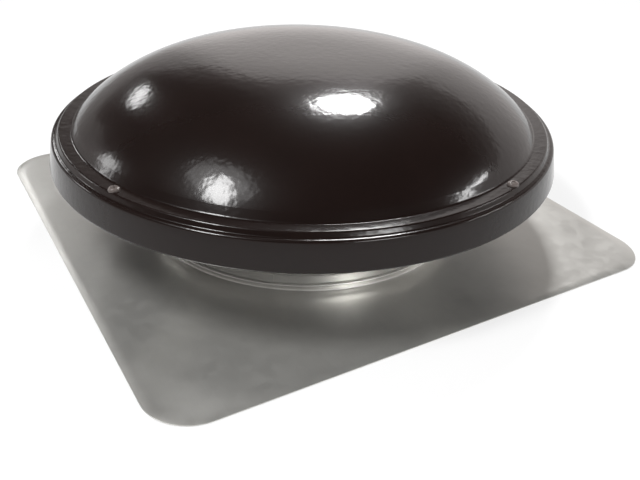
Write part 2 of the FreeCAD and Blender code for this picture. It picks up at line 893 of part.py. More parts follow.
SHAFT_FLAT = "(shaft_radius - shaft_flat)"
HUB_BOTTOM = "(hub_height - hub_length / 2)"
HUB_TOP = "(hub_height + hub_length / 2)"
SPIDER_BOTTOM = "(hub_height - spider_gauge / 2)"


def make_shaft():
    profile = free_sketch(
        "shaft_section",
        [
            ("0", f"{MOTOR_FOOT} - shaft_tail"),
            ("shaft_radius", f"{MOTOR_FOOT} - shaft_tail"),
            ("shaft_radius", "shaft_top - shaft_chamfer"),
            ("shaft_radius - shaft_chamfer", "shaft_top"),
            ("0", "shaft_top"),
        ],
    )
    flat = block(
        "shaft_flat_cut",
        "shaft_radius",
        "2 * shaft_radius",
        f"shaft_top - {HUB_BOTTOM} + hub_flange",
        (SHAFT_FLAT, "-shaft_radius", HUB_BOTTOM),
    )
    node(cut("shaft", revolved("shaft_blank", profile), [flat]), "motor_shaft")
    seat = "shaft_radius + seat_clearance"
    profile = free_sketch(
        "slinger_section",
        [
            (seat, "slinger_height"),
            ("slinger_radius", "slinger_height - slinger_thickness / 2"),
            ("slinger_radius", "slinger_height + slinger_thickness / 2"),
            ("bearing_radius", "slinger_height + 2 * slinger_thickness"),
            (seat, "slinger_height + 2 * slinger_thickness"),
        ],
    )
    node(revolved("slinger", profile), "shaft_slinger")


def make_hub():
    seat = "shaft_radius + seat_clearance"
    flange_bottom = f"{SPIDER_BOTTOM} - hub_flange"
    profile = free_sketch(
        "hub_section",
        [
            (seat, HUB_BOTTOM),
            ("hub_radius", HUB_BOTTOM),
            ("hub_radius", flange_bottom),
            ("hub_flange_radius", flange_bottom),
            ("hub_flange_radius", SPIDER_BOTTOM),
            ("hub_radius", SPIDER_BOTTOM),
            ("hub_radius", HUB_TOP),
            (seat, HUB_TOP),
        ],
    )
    height = f"({HUB_TOP} - 2 * set_screw_radius)"
    tool = cylinder("set_screw_hole", "set_screw_radius + seat_clearance", "hub_radius")
    settle(tool, "0", "shaft_radius / 2", height, OUTWARD)
    node(cut("hub", revolved("hub_blank", profile), [tool]), "fan_hub")
    screw = cylinder("set_screw", "set_screw_radius", f"hub_radius - {SHAFT_FLAT}")
    node(settle(screw, "0", SHAFT_FLAT, height, OUTWARD), "hub_set_screw")


def on_blade(pitch, along, depth):
    """A point of a blade's cross-section: along its chord from the middle, and below it."""
    return (
        f"({along}) * cos({pitch}) - ({depth}) * sin({pitch})",
        f"hub_height - ({along}) * sin({pitch}) - ({depth}) * cos({pitch})",
    )


def between(station, first, second):
    """A blade's size at a station between its root and its middle."""
    share = f"(({station}) - root_station) / (mid_station - root_station)"
    return f"({first} + ({second} - {first}) * {share})"


def blade_section(body, place):
    """A thin crescent across the blade: two arcs a sheet's gauge apart."""
    half = f"{place}_chord / 2"
    pitch = f"{place}_pitch"
    skin = "blade_gauge / 2"
    front = on_blade(pitch, half, f"-{skin}")
    above = on_blade(pitch, "0", f"{place}_camber - {skin}")
    below = on_blade(pitch, "0", f"{place}_camber + {skin}")
    corners = [
        front,
        on_blade(pitch, f"-{half}", f"-{skin}") + above,
        on_blade(pitch, f"-{half}", skin),
        on_blade(pitch, half, skin) + below,
    ]
    return body_sketch(body, f"blade_{place}", "YZ_Plane", corners, lift=f"{place}_station")


def loft(body, name, sections):
    item = body.newObject("PartDesign::AdditiveLoft", name)
    item.Profile = sections[0]
    item.Sections = sections[1:]
    item.Ruled = True
    return item


CORNER_CUT = 0.3
SWELL = 0.8


def blade_plan():
    """The blade seen from above: a paddle that ends on the fan's circle. Its sides swell by a
    share of the widening halfway along, and its corners cut a share off their squares."""
    straight = "(sqrt(fan_radius ^ 2 - blade_half_width ^ 2) - blade_corner)"
    inset = "(blade_half_width - blade_corner)"
    tip = f"sqrt(fan_radius ^ 2 - {inset} ^ 2)"
    corner_x = f"{tip} - ({tip} - {straight}) * {CORNER_CUT}"
    corner_y = f"(blade_half_width - {CORNER_CUT} * blade_corner)"
    root = "(root_station + blade_gauge)"
    swell_x = f"({root} + {straight}) / 2"
    swell_y = f"(root_half_width + (blade_half_width - root_half_width) * {SWELL})"
    return [
        (root, "-root_half_width", swell_x, "-" + swell_y),
        (root, "root_half_width"),
        (straight, "blade_half_width", swell_x, swell_y),
        (tip, inset, corner_x, corner_y),
        (tip, "-" + inset, "fan_radius", "0"),
        (straight, "-blade_half_width", corner_x, "-" + corner_y),
    ]


CAMBER_FALL = "atan((mid_camber - root_camber) / (mid_station - root_station))"


def at_blade_rivet(item, azimuth, station, below_face):
    """Sets an item square to the blade at a station, below the blade's upper face."""
    pitch = between(station, "root_pitch", "mid_pitch")
    camber = between(station, "root_camber", "mid_camber")
    depth = f"({camber} - blade_gauge / 2 + ({below_face}) * cos({CAMBER_FALL}))"
    across = FreeCAD.Rotation(X, -value(pitch))
    pose = across.multiply(FreeCAD.Rotation(Y, value(CAMBER_FALL)))
    aside, height = on_blade(pitch, "0", depth)
    out = f"{station} - ({below_face}) * sin({CAMBER_FALL})"
    return settle(item, azimuth, out, height, pose, aside)


RIVET_STATIONS = ("blade_rivet_inner", "blade_rivet_outer")
BLADE_GRIP = "blade_gauge + spider_gauge + part_gap"
ARM_DROP = "blade_gauge / 2 + spider_gauge / 2 + part_gap"


def rivet_holes(name, azimuth):
    """The two rivet holes through a blade and its spider arm."""
    return [
        at_blade_rivet(
            cylinder(name, "rivet_shank + seat_clearance", f"4 * ({BLADE_GRIP})"),
            azimuth,
            station,
            f"2.5 * ({BLADE_GRIP})",
        )
        for station in RIVET_STATIONS
    ]


def make_blades():
    plan = free_sketch("blade_plan", blade_plan(), upright=False)
    body = new_body("blade_skin")
    loft(body, "blade_loft", [blade_section(body, place) for place in ("root", "mid", "tip")])
    outline = doc.addObject("Part::Extrusion", "blade_outline")
    outline.Base = plan
    outline.DirMode = "Custom"
    outline.Dir = Z
    outline.Solid = True
    size(outline, LengthFwd="hub_height + fan_radius")
    paddle = doc.addObject("Part::Common", "blade_paddle")
    paddle.Base = body
    paddle.Tool = outline
    blade = cut("blade", paddle, rivet_holes("blade_hole", "0"))
    for k, azimuth in enumerate(BLADES, start=1):
        name = f"fan_blade_{k}"
        node(settle(group(name + "_copy", [blade]), azimuth), name)


def arm_section(body, station, pitch, middle, gauge="spider_gauge"):
    """The rectangle across a spider arm, with its middle below the hub's level."""
    half_width = "spider_arm_width / 2"
    half_gauge = f"{gauge} / 2"
    corners = [
        on_blade(pitch, half_width, f"{middle} - {half_gauge}"),
        on_blade(pitch, "-" + half_width, f"{middle} - {half_gauge}"),
        on_blade(pitch, "-" + half_width, f"{middle} + {half_gauge}"),
        on_blade(pitch, half_width, f"{middle} + {half_gauge}"),
    ]
    return body_sketch(body, "arm_section", "YZ_Plane", corners, lift=station)


def make_spider():
    body = new_body("spider_arm")
    plate = body_sketch(body, "spider_plan", "XY_Plane", lift=SPIDER_BOTTOM)
    circle(plate, "spider_disc")
    circle(plate, "hub_radius + seat_clearance")
    feature(body, "Pad", "spider_plate", plate, Length="spider_gauge")
    sections = [arm_section(body, "spider_arm_root", "0", "0", "spider_root_gauge")]
    for station in ("spider_arm_start", "spider_arm_end"):
        pitch = between(station, "root_pitch", "mid_pitch")
        camber = between(station, "root_camber", "mid_camber")
        sections.append(arm_section(body, station, pitch, f"({camber} + ({ARM_DROP}))"))
    loft(body, "spider_arm_loft", sections)
    arms = [settle(group("spider_arm_copy", [body]), azimuth) for azimuth in BLADES]
    tools = [tool for azimuth in BLADES for tool in rivet_holes("spider_hole", azimuth)]
    node(cut("spider", fused("spider_blank", arms), tools), "fan_spider")
    rivets = [
        at_blade_rivet(rivet("blade_rivet", BLADE_GRIP), azimuth, station, "0")
        for azimuth in BLADES
        for station in RIVET_STATIONS
    ]
    node(group("blade_rivet_set", rivets), "blade_rivets")


# Control box


def make_box():
    body = new_body("box")
    half = "box_width / 2"
    outline = rectangle(BOX_FRONT, BOX_BACK, "-" + half, half)
    plan = body_sketch(body, "box_plan", "XY_Plane", outline, lift="box_bottom")
    feature(body, "Pad", "box_block", plan, Length="box_height")
    inside = rectangle(
        f"{BOX_FRONT} + box_gauge",
        f"{BOX_BACK} - box_gauge",
        f"box_gauge - {half}",
        f"{half} - box_gauge",
    )
    hollow = body_sketch(body, "box_inside", "XY_Plane", inside, lift="box_bottom")
    room = feature(body, "Pocket", "box_hollow", hollow, Length="box_height - box_gauge")
    room.Reversed = True
    lugs = body_sketch(body, "box_lug_plan", "XY_Plane", lift="box_bottom")
    front, back = BOX_FRONT, BOX_BACK
    draw(lugs, rectangle(front, f"{front} + box_lug", f"{half} - box_lug", half))
    draw(lugs, rectangle(f"{back} - box_lug", back, f"-{half}", f"box_lug - {half}"))
    feature(body, "Pad", "box_lugs", lugs, Length="box_gauge")
    lead = cylinder("lead_hole", "lead_hole_radius", "4 * box_gauge")
    lead_height = "box_bottom + box_height / 2"
    tools = [settle(lead, "0", f"{BOX_FRONT} - box_gauge", lead_height, OUTWARD)]
    for height in BOX_SCREWS:
        hole = cylinder("box_screw_hole", "screw_shank + seat_clearance", "4 * box_gauge")
        tools.append(settle(hole, "0", f"{BOX_BACK} - 2 * box_gauge", height, OUTWARD))
    tools += cover_holes("box_lug_hole")
    node(cut("box_cut", body, tools), "control_box")


def at_lugs(make, height, pose=LEVEL):
    """Sets one item at each of the box's two lugs, in opposite corners."""
    aside = "(box_width / 2 - box_lug / 2)"
    return [
        settle(make(), "0", f"{BOX_FRONT} + box_lug / 2", height, pose, aside),
        settle(make(), "0", f"{BOX_BACK} - box_lug / 2", height, pose, "-" + aside),
    ]


def cover_holes(name):
    """The two holes for the cover's screws, through the lugs and the cover."""
    return at_lugs(
        lambda: cylinder(name, "screw_shank + seat_clearance", "6 * box_gauge"),
        "box_bottom - 3 * box_gauge",
    )


def make_cover():
    plate = block(
        "cover_plate",
        "box_depth",
        "box_width",
        "box_gauge",
        (BOX_FRONT, "-box_width / 2", COVER_BOTTOM),
    )
    window = cylinder("dial_window", "2 * dial_stem + seat_clearance", "4 * box_gauge")
    below = "box_bottom - 2 * box_gauge"
    tools = [settle(window, "0", BOX_MIDDLE, below)]
    knockout = cylinder("knockout", "knockout_radius", "4 * box_gauge")
    aside = "box_width / 2 - knockout_inset"
    tools.append(settle(knockout, "0", f"{BOX_BACK} - knockout_inset", below, aside=aside))
    node(cut("cover_cut", plate, tools + cover_holes("cover_hole")), "control_box_cover")
    grip = "3 * box_gauge + thread_spare"
    profile = button("cover_screw", "bolt_head", "bolt_rise", "screw_shank", grip)
    screws = at_lugs(lambda: revolved("cover_screw_one", profile), COVER_BOTTOM, UPSIDE_DOWN)
    node(group("cover_screw_set", screws), "cover_screws")
    grip = f"{THROAT_OUTER} - {BOX_BACK} + box_gauge + 2 * thread_spare"
    profile = button("box_screw", "bolt_head", "bolt_rise", "screw_shank", grip)
    screws = [
        settle(revolved("box_screw_one", profile), "0", THROAT_OUTER, height, OUTWARD)
        for height in BOX_SCREWS
    ]
    node(group("box_screw_set", screws), "box_screws")


def make_thermostat():
    middle_low = f"{BOX_MIDDLE} - thermostat_depth / 2"
    case = block(
        "thermostat_case",
        "thermostat_depth",
        "thermostat_width",
        "thermostat_height",
        (middle_low, "-thermostat_width / 2", "box_bottom"),
    )
    bush = cylinder("thermostat_bush", "2 * dial_stem", "2 * box_gauge")
    settle(bush, "0", BOX_MIDDLE, COVER_BOTTOM)
    bore = cylinder(
        "stem_bore", "dial_stem + running_clearance", "dial_stem_length + part_gap + box_gauge"
    )
    settle(bore, "0", BOX_MIDDLE, f"{COVER_BOTTOM} - box_gauge")
    node(cut("thermostat_cut", fused("thermostat_block", [case, bush]), [bore]), "thermostat")
    top = f"({COVER_BOTTOM} - part_gap)"
    bottom = f"({top} - dial_thickness)"
    stem_end = f"({top} + dial_stem_length - 2 * part_gap)"
    body = new_body("dial")
    section = body_sketch(
        body,
        "dial_section",
        "XZ_Plane",
        [
            ("0", bottom),
            ("dial_radius - dial_chamfer", bottom),
            ("dial_radius", f"{bottom} + dial_chamfer"),
            ("dial_radius", top),
            ("dial_stem", top),
            ("dial_stem", stem_end),
            ("0", stem_end),
        ],
    )
    turn(body, "dial_blank", section)
    grip = body_sketch(
        body,
        "dial_grip_plan",
        "XY_Plane",
        rectangle("-dial_grip / 2", "dial_grip / 2", "-dial_grip_reach", "dial_grip_reach"),
        lift=bottom,
    )
    bar = feature(body, "Pad", "dial_grip_bar", grip, Length="dial_grip")
    bar.Reversed = True
    node(settle(group("dial_set", [body]), "0", BOX_MIDDLE), "thermostat_dial")
    lip = "lead_hole_radius + grommet_lip"
    half = "box_gauge / 2"
    profile = free_sketch(
        "grommet_section",
        [
            ("grommet_bore", f"-{half} - grommet_lip"),
            (lip, f"-{half}"),
            ("lead_hole_radius", f"-{half}"),
            ("lead_hole_radius", half),
            (lip, half),
            (lip, f"{half} + grommet_lip / 2"),
            ("grommet_bore", f"{half} + grommet_lip"),
        ],
    )
    grommet = revolved("grommet", profile)
    place = f"{BOX_FRONT} + box_gauge / 2"
    node(settle(grommet, "0", place, "box_bottom + box_height / 2", OUTWARD), "lead_grommet")


def check(items):
    """Stops the build where an item has failed or a piece isn't a sound solid."""
    for item in doc.Objects:
        if {"Invalid", "Error"} & set(item.State):
            raise RuntimeError(f"{item.Name} ({item.Label}) failed: {item.State}")
    for item in items:
        shape = item.Shape
        if shape.isNull() or not shape.isValid() or not shape.Solids:
            raise RuntimeError(f"{item.Label} has no sound shape")


make_flashing()
make_throat()
make_dome()
make_straps()
make_dome_fasteners()
make_guard()
make_band()
make_motor_bracket()
make_bracket_fasteners()
make_motor()
make_motor_fasteners()
make_shaft()
make_hub()
make_blades()
make_spider()
make_box()
make_cover()
make_thermostat()
doc.recompute()
check(nodes)
os.makedirs("parts", exist_ok=True)
for item in nodes:
    item.Shape.exportStep(os.path.join("parts", item.Label + ".step"))
    print(item.Label, len(item.Shape.Solids), round(item.Shape.Volume))
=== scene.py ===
# %% [markdown]
# # A powered attic fan, dressed for its portrait
# A roof fan lifts hot air out of an attic. A spun steel dome keeps the rain out, a round throat
# carries the air, a square flashing seals it to the roof, and a motor turns a propeller inside.
# The solids come from CAD and stay where they are. This lesson gives each of them the surface
# that the real one has, and puts the whole fan in a plain studio.

# %% Load the solids
import json
import math

import bmesh
import bpy
import numpy as np
from mathutils import Matrix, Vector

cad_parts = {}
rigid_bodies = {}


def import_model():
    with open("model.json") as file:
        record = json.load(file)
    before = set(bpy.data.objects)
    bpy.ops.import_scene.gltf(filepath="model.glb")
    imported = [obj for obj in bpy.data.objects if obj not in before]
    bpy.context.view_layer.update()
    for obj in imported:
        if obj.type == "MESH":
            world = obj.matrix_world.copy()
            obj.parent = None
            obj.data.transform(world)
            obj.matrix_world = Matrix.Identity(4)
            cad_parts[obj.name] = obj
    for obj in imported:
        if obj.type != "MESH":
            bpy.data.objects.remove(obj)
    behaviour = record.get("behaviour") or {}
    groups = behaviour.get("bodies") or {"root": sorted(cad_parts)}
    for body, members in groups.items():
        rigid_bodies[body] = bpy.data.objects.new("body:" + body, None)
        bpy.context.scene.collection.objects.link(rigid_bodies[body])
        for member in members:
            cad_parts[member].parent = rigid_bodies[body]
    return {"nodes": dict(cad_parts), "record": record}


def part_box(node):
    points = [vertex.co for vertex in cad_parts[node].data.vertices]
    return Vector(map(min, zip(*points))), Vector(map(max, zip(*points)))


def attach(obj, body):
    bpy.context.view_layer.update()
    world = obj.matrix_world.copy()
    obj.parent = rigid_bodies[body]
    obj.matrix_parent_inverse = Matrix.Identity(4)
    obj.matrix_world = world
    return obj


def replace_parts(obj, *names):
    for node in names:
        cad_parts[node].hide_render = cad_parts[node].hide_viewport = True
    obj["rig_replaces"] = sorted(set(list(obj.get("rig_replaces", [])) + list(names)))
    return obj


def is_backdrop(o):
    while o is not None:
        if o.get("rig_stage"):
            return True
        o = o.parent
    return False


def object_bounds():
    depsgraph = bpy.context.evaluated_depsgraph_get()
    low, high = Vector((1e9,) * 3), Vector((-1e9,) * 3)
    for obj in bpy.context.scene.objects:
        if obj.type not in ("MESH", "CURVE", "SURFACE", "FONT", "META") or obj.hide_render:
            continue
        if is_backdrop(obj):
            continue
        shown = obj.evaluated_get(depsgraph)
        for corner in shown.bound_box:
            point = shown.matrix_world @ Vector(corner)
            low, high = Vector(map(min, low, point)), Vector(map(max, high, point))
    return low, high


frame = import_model()
cad_low, cad_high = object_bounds()
scene = bpy.context.scene
scene.view_settings.view_transform = "Standard"
MM = 0.001
SLOTS = {row["node"]: row["material_slot"] for row in frame["record"]["subparts"]}
BODY = {node: body for body, nodes in frame["record"]["behaviour"]["bodies"].items() for node in nodes}
size = [round((b - a) / MM, 1) for a, b in zip(cad_low, cad_high)]
print("solids:", len(frame["nodes"]), "box in mm:", size)

# %% [markdown]
# ## The camera
# The photograph was taken from the front left corner, above the dome, at about a metre. Its
# angles were found by fitting the flashing's straight edges and the dome's rim, so the camera is
# written as those angles: a turn round the fan, a height, and three small aiming angles. Each
# aiming angle swings two of the camera's axes in their own plane, and lamps are aimed that way too.

# %% Place the camera
SENSOR = 36


def swing(first, second, angle):
    """Turns two axes in their own plane: the first goes towards the second."""
    cosine, sine = np.cos(angle), np.sin(angle)
    return cosine * first + sine * second, cosine * second - sine * first


def stood(piece, right, up, back, place):
    """Stands a camera or a lamp at a place. Its three axes are the columns of its matrix."""
    rows = [(*row, at) for row, at in zip(np.stack((right, up, back), 1), place)]
    piece.matrix_world = Matrix(rows + [(0, 0, 0, 1)])
    scene.collection.objects.link(piece)
    return piece


def aimed_camera(azimuth, elevation, distance, yaw, pitch, roll, lens):
    """A camera turned round the origin, then yawed, pitched and rolled about itself."""
    azimuth, elevation, yaw, pitch, roll = np.radians((azimuth, elevation, yaw, pitch, roll))
    level, rise = np.cos(elevation), np.sin(elevation)
    back = np.array((np.sin(azimuth) * level, -np.cos(azimuth) * level, rise))
    right = np.array((np.cos(azimuth), np.sin(azimuth), 0.0))
    up = np.cross(back, right)
    place = back * distance
    right, back = swing(right, back, -yaw)
    up, back = swing(up, back, pitch)
    right, up = swing(right, up, roll)
    camera = bpy.data.objects.new("photo_camera", bpy.data.cameras.new("photo_camera"))
    camera.data.sensor_width, camera.data.lens = SENSOR, lens
    return stood(camera, right, up, back, place)


scene.camera = aimed_camera(
    azimuth=-29.39, elevation=28.49, distance=0.9953, yaw=-1.32, pitch=-2.51, roll=1.12, lens=43.03
)
print("camera at", [round(x, 3) for x in scene.camera.matrix_world.translation])

# %% [markdown]
# ## Shader maths that reads like Python
# A material is a graph of nodes. Writing each node by hand hides the idea, so a small class wraps
# an output socket and lets the signs + - * / ** add the Math nodes. Every other node comes from
# one method that takes the node's type, its settings and its inputs.

# %% Sockets and finishes
class Value:
    """An output socket, with Python's operators standing for Math nodes."""

    def __init__(self, finish, socket):
        self.finish, self.socket = finish, socket

    def math(self, operation, *given):
        return self.finish.add("ShaderNodeMath", {"operation": operation}, given)

    def __add__(self, other):
        return self.math("ADD", self, other)

    def __sub__(self, other):
        return self.math("SUBTRACT", self, other)

    def __rsub__(self, other):
        return self.math("SUBTRACT", other, self)

    def __mul__(self, other):
        return self.math("MULTIPLY", self, other)

    def __truediv__(self, other):
        return self.math("DIVIDE", self, other)

    def __pow__(self, other):
        return self.math("POWER", self, other)

    __radd__, __rmul__ = __add__, __mul__

    def step(self, low, high):
        """0 below low, 1 above high, and a smooth rise between."""
        settings = {"interpolation_type": "SMOOTHSTEP"}
        return self.finish.add("ShaderNodeMapRange", settings, (self, low, high, 0.0, 1.0))


class Finish:
    """A material or a world as a node graph."""

    def __init__(self, owner, end):
        owner.use_nodes = True
        self.owner, self.tree = owner, owner.node_tree
        self.tree.nodes.clear()
        self.end = self.tree.nodes.new(end)

    def add(self, kind, settings=None, given=(), output=0):
        """One node: its type, its settings, then the values or links of its inputs, by place or by name."""
        node = self.tree.nodes.new(kind)
        for key, setting in (settings or {}).items():
            setattr(node, key, setting)
        for key, item in given.items() if isinstance(given, dict) else enumerate(given):
            if isinstance(item, Value):
                self.tree.links.new(item.socket, node.inputs[key])
            else:
                node.inputs[key].default_value = item
        return Value(self, node.outputs[output])

    def blend(self, share, first, second):
        """A colour between two, by a share from 0 to 1."""
        return self.add("ShaderNodeMix", {"data_type": "RGBA"}, {0: share, 6: first, 7: second}, 2)

    def place(self, stretch=(1, 1, 1)):
        """The point on the piece in metres, with each axis stretched."""
        point = self.add("ShaderNodeTexCoord", output=3)
        return self.add("ShaderNodeVectorMath", {"operation": "MULTIPLY"}, (point, stretch))

    def parts(self, vector, count=3):
        """The first coordinates of a vector, each as a value of its own."""
        return [self.add("ShaderNodeSeparateXYZ", None, (vector,), k) for k in range(count)]

    def noise(self, grain, detail=2.0, stretch=(1, 1, 1)):
        """Soft noise whose grains are about this many metres across."""
        given = {"Vector": self.place(stretch), "Scale": 1 / grain, "Detail": detail, "Roughness": 0.55}
        return self.add("ShaderNodeTexNoise", None, given)

    def bump(self, height, depth, under=None):
        """A normal tilted by a height from 0 to 1 that stands for a depth in metres."""
        given = {"Height": height, "Distance": depth, "Strength": 1.0}
        if under:
            given["Normal"] = under
        return self.add("ShaderNodeBump", None, given)

    def close(self, shader):
        """Links the last shader to the graph's end and gives back the material or world."""
        self.tree.links.new(shader.socket, self.end.inputs["Surface"])
        return self.owner


def colour(text):
    """A screen colour such as 8F9090 as the linear colour that a shader takes."""
    screen = np.array([int(text[k : k + 2], 16) for k in (0, 2, 4)]) / 255
    linear = np.where(screen < 0.04045, screen / 12.92, ((screen + 0.055) / 1.055) ** 2.4)
    return (*linear.tolist(), 1.0)


def material(slot):
    """An empty material under the name of its slot."""
    return Finish(bpy.data.materials.new(slot), "ShaderNodeOutputMaterial")


def principled(finish, **given):
    """Closes a finish with the Principled shader. An underscore stands for a space in a socket's name."""
    inputs = {name.replace("_", " "): value for name, value in given.items()}
    return finish.close(finish.add("ShaderNodeBsdfPrincipled", None, inputs))


FINISHES = {}
print("shader helpers ready")

# %% [markdown]
# ## The dome's enamel
# The dome is sprayed with a very dark brown enamel and baked. Up close such a paint isn't a
# perfect mirror: it dries with an orange peel, ripples up to a centimetre or two wide and a tenth
# or two of a millimetre high, that breaks a lamp's reflection into grains. Dust and handling
# change its gloss slowly over the dome and lay a thin haze on it, which is the shader's rough
# coat. Where a mesh asks for it, the colour turns pale: partly real scuffs, partly a painted
# reflection of the pale room.

# %% Enamel on the dome
def dome_enamel():
    """Dark paint under two sizes of ripple, with dust in its gloss and a haze over it."""
    finish = material("dome_enamel")
    peel = finish.noise(0.0075, 1.0)
    ripple = finish.noise(0.024, 1.0)
    dust = finish.noise(0.06, 4.0)
    sheen_and_wear = finish.add("ShaderNodeAttribute", {"attribute_name": "sheen_and_wear"}, output=2)
    base = finish.blend(dust, colour("130C0A"), colour("1A110F"))
    # Pale colour where the mesh asks for it: real scuffs plus a painted reflection of the pale room.
    base = finish.blend(sheen_and_wear, base, colour("5F5754"))
    normal = finish.bump(peel, 0.00018, finish.bump(ripple, 0.00015))
    gloss = {"Roughness": 0.115 + 0.04 * dust, "Specular_IOR_Level": 0.22}
    haze = {"Coat_Weight": 0.11, "Coat_Roughness": 0.34}
    return principled(finish, Base_Color=base, Normal=normal, **gloss, **haze)


FINISHES["dome_enamel"] = dome_enamel()
print("enamel ready")

# %% [markdown]
# ## Galvanised sheet
# Hot-dipped sheet is grey zinc with a satin sheen. It has crystals a centimetre or so wide that
# differ a little in tone, and faint lines from the rolls of the mill. Zinc is a metal, so most of
# its look is blurred reflection; the crystals and lines shift its roughness and its tone. On the
# large sheet the zinc has dulled a little, so that part of it counts as matt and not as metal.

# %% Zinc finishes
def zinc(slot, dark, light, rough, crystal=0.011, along=(1, 0.05, 1), metal=1.0):
    """Satin zinc: crystals of one size, and mill lines along the stretched axis."""
    finish = material(slot)
    given = {"Vector": finish.place(), "Scale": 1 / crystal, "Randomness": 1.0}
    crystals = finish.add("ShaderNodeTexVoronoi", None, given, 1)
    tone = finish.add("ShaderNodeSeparateColor", None, (crystals,))
    lines = finish.noise(0.0016, 3.0, along)
    cloud = finish.noise(0.09, 3.0)
    share = 0.22 * tone + 0.3 * lines + 0.48 * cloud
    base = finish.blend(share, colour(dark), colour(light))
    normal = finish.bump(lines, 0.000006)
    roughness = rough + 0.05 * tone + 0.1 * (cloud - 0.5) + 0.06 * (lines - 0.5)
    return principled(finish, Base_Color=base, Metallic=metal, Roughness=roughness, Normal=normal)


FINISHES["galvanised"] = zinc("galvanised", "C1C0BC", "CECDC9", 0.32, metal=0.77)
FINISHES["zinc_hardware"] = zinc("zinc_hardware", "B0AFA8", "CDCCC4", 0.26, 0.004)
FINISHES["zinc_wire"] = zinc("zinc_wire", "9A9C9C", "B9BBBA", 0.4, 0.005, (1, 1, 0.1))
FINISHES["hub_steel"] = zinc("hub_steel", "8F9092", "B2B3B4", 0.33, 0.006)
print("zinc ready")

# %% [markdown]
# ## The bare metals
# The blades are aluminium straight from the mill, the shaft is ground, the bearings are sintered
# bronze, and the cores are thin steel sheets in a stack. Each gets the streaks that its making
# leaves, at their real size: the stretched axis is the one that the rolls or the wheel ran along.

# %% Bare metals
def bare_metal(slot, dark, light, rough, grain, stretch, depth):
    """A worked metal: streaks of one grain along the stretched axis."""
    finish = material(slot)
    streaks = finish.noise(grain, 3.0, stretch)
    cloud = finish.noise(0.04, 3.0)
    base = finish.blend(0.6 * streaks + 0.4 * cloud, colour(dark), colour(light))
    roughness = rough + 0.12 * (streaks - 0.5) + 0.14 * (cloud - 0.5)
    normal = finish.bump(streaks, depth)
    return principled(finish, Base_Color=base, Metallic=1.0, Roughness=roughness, Normal=normal)


METALS = (
    ("blade_aluminium", "B8B9B9", "D2D3D3", 0.34, 0.0012, (0.05, 1, 1), 0.000008),
    ("rivet_aluminium", "B2B3B4", "D0D1D2", 0.3, 0.001, (1, 1, 1), 0.000008),
    ("ground_steel", "A6A8AA", "C6C8CA", 0.2, 0.0006, (0.1, 0.1, 1), 0.000004),
    ("bearing_bronze", "94683A", "B98A50", 0.42, 0.0005, (1, 1, 1), 0.00002),
    ("lamination_steel", "5F6164", "8C8E91", 0.42, 0.00055, (0.02, 0.02, 1), 0.00012),
)
for slot, *given in METALS:
    FINISHES[slot] = bare_metal(slot, *given)
print("bare metals:", len(METALS))

# %% [markdown]
# ## Paint, rubber, wire and plastic
# The rest is plain shop work: a black enamelled motor, rubber feet, fibre washers, two moulded
# plastics and copper wire under varnish. They have a fine grain and a slow change of tone. The
# dial's pointer is a line of paint, worked out from the place on the dial, so it turns with it.

# %% Paints, rubber, wire and plastics
DIAL_MARK = {"middle": 0.158375, "low": 0.003, "high": 0.0115}
VARNISH = {"Coat_Weight": 0.8, "Coat_Roughness": 0.12}


def pointer(finish, middle, low, high, half=0.0008, soft=0.0003):
    """1 on a line along Y from low to high, at X = middle and of this half width, and 0 beside it."""
    x, y = finish.parts(finish.place(), 2)
    beside = x - middle
    across = 1.0 - beside.math("ABSOLUTE", beside).step(half * 0.8, half * 1.2)
    return across * y.step(low, low + soft) * (1.0 - y.step(high, high + soft))


def coated(slot, dark, light, rough, grain, depth, coat=0.0, metal=0.0, mark=None):
    """A paint, rubber or plastic: fine grain in its height, a slow change in its tone, perhaps a mark."""
    finish = material(slot)
    pores = finish.noise(grain, 3.0)
    cloud = finish.noise(grain * 25, 3.0)
    base = finish.blend(0.35 * pores + 0.65 * cloud, colour(dark), colour(light))
    if mark:
        base = finish.blend(pointer(finish, **mark), base, colour("8C1F17"))
    roughness = rough + 0.1 * (pores - 0.5) + 0.12 * (cloud - 0.5)
    normal = finish.bump(pores, depth)
    given = {"Base_Color": base, "Metallic": metal, "Roughness": roughness, "Normal": normal}
    return principled(finish, Coat_Weight=coat, Coat_Roughness=0.12, **given)


def copper_wire(slot):
    """Varnished magnet wire: copper seen through a clear amber coat."""
    finish = material(slot)
    cloud = finish.noise(0.01, 3.0)
    base = finish.blend(cloud, colour("7E3A1B"), colour("B4622F"))
    return principled(finish, Base_Color=base, Metallic=0.85, Roughness=0.3 + 0.12 * cloud, **VARNISH)


COATINGS = (
    ("motor_enamel", "1D1E20", "2A2C2E", 0.38, 0.0011, 0.00003, 0.3),
    ("cast_bell", "414244", "57595B", 0.5, 0.0009, 0.00006, 0.1),
    ("black_screw", "161617", "252526", 0.42, 0.0006, 0.00002, 0.0, 0.4),
    ("isolator_rubber", "151516", "232324", 0.68, 0.0007, 0.00004),
    ("washer_fibre", "33291F", "4A3B2C", 0.7, 0.0006, 0.00005),
    ("thermostat_plastic", "1A1B1C", "26282A", 0.45, 0.0008, 0.00002),
    ("dial_plastic", "CFCBBE", "E2DFD4", 0.3, 0.0008, 0.00001, 0.3, 0.0, DIAL_MARK),
)
for slot, *given in COATINGS:
    FINISHES[slot] = coated(slot, *given)
FINISHES["winding_copper"] = copper_wire("winding_copper")
missing = sorted(set(SLOTS.values()) - set(FINISHES))
print("finishes:", len(FINISHES), "slots without one:", missing)

# %% [markdown]
# ## Surfaces from arrays
# A sheet-metal piece is a section carried along a path, so its points form a grid. The grid is
# worked out as whole arrays and handed to a mesh in one go. A row that shrinks to a point closes
# a pole, and the mesh's own volume tells whether its faces point outwards.

# %% Grid surfaces
DOUBLED, SLIVER = 2e-7, 1e-7
SHARP = 38.0


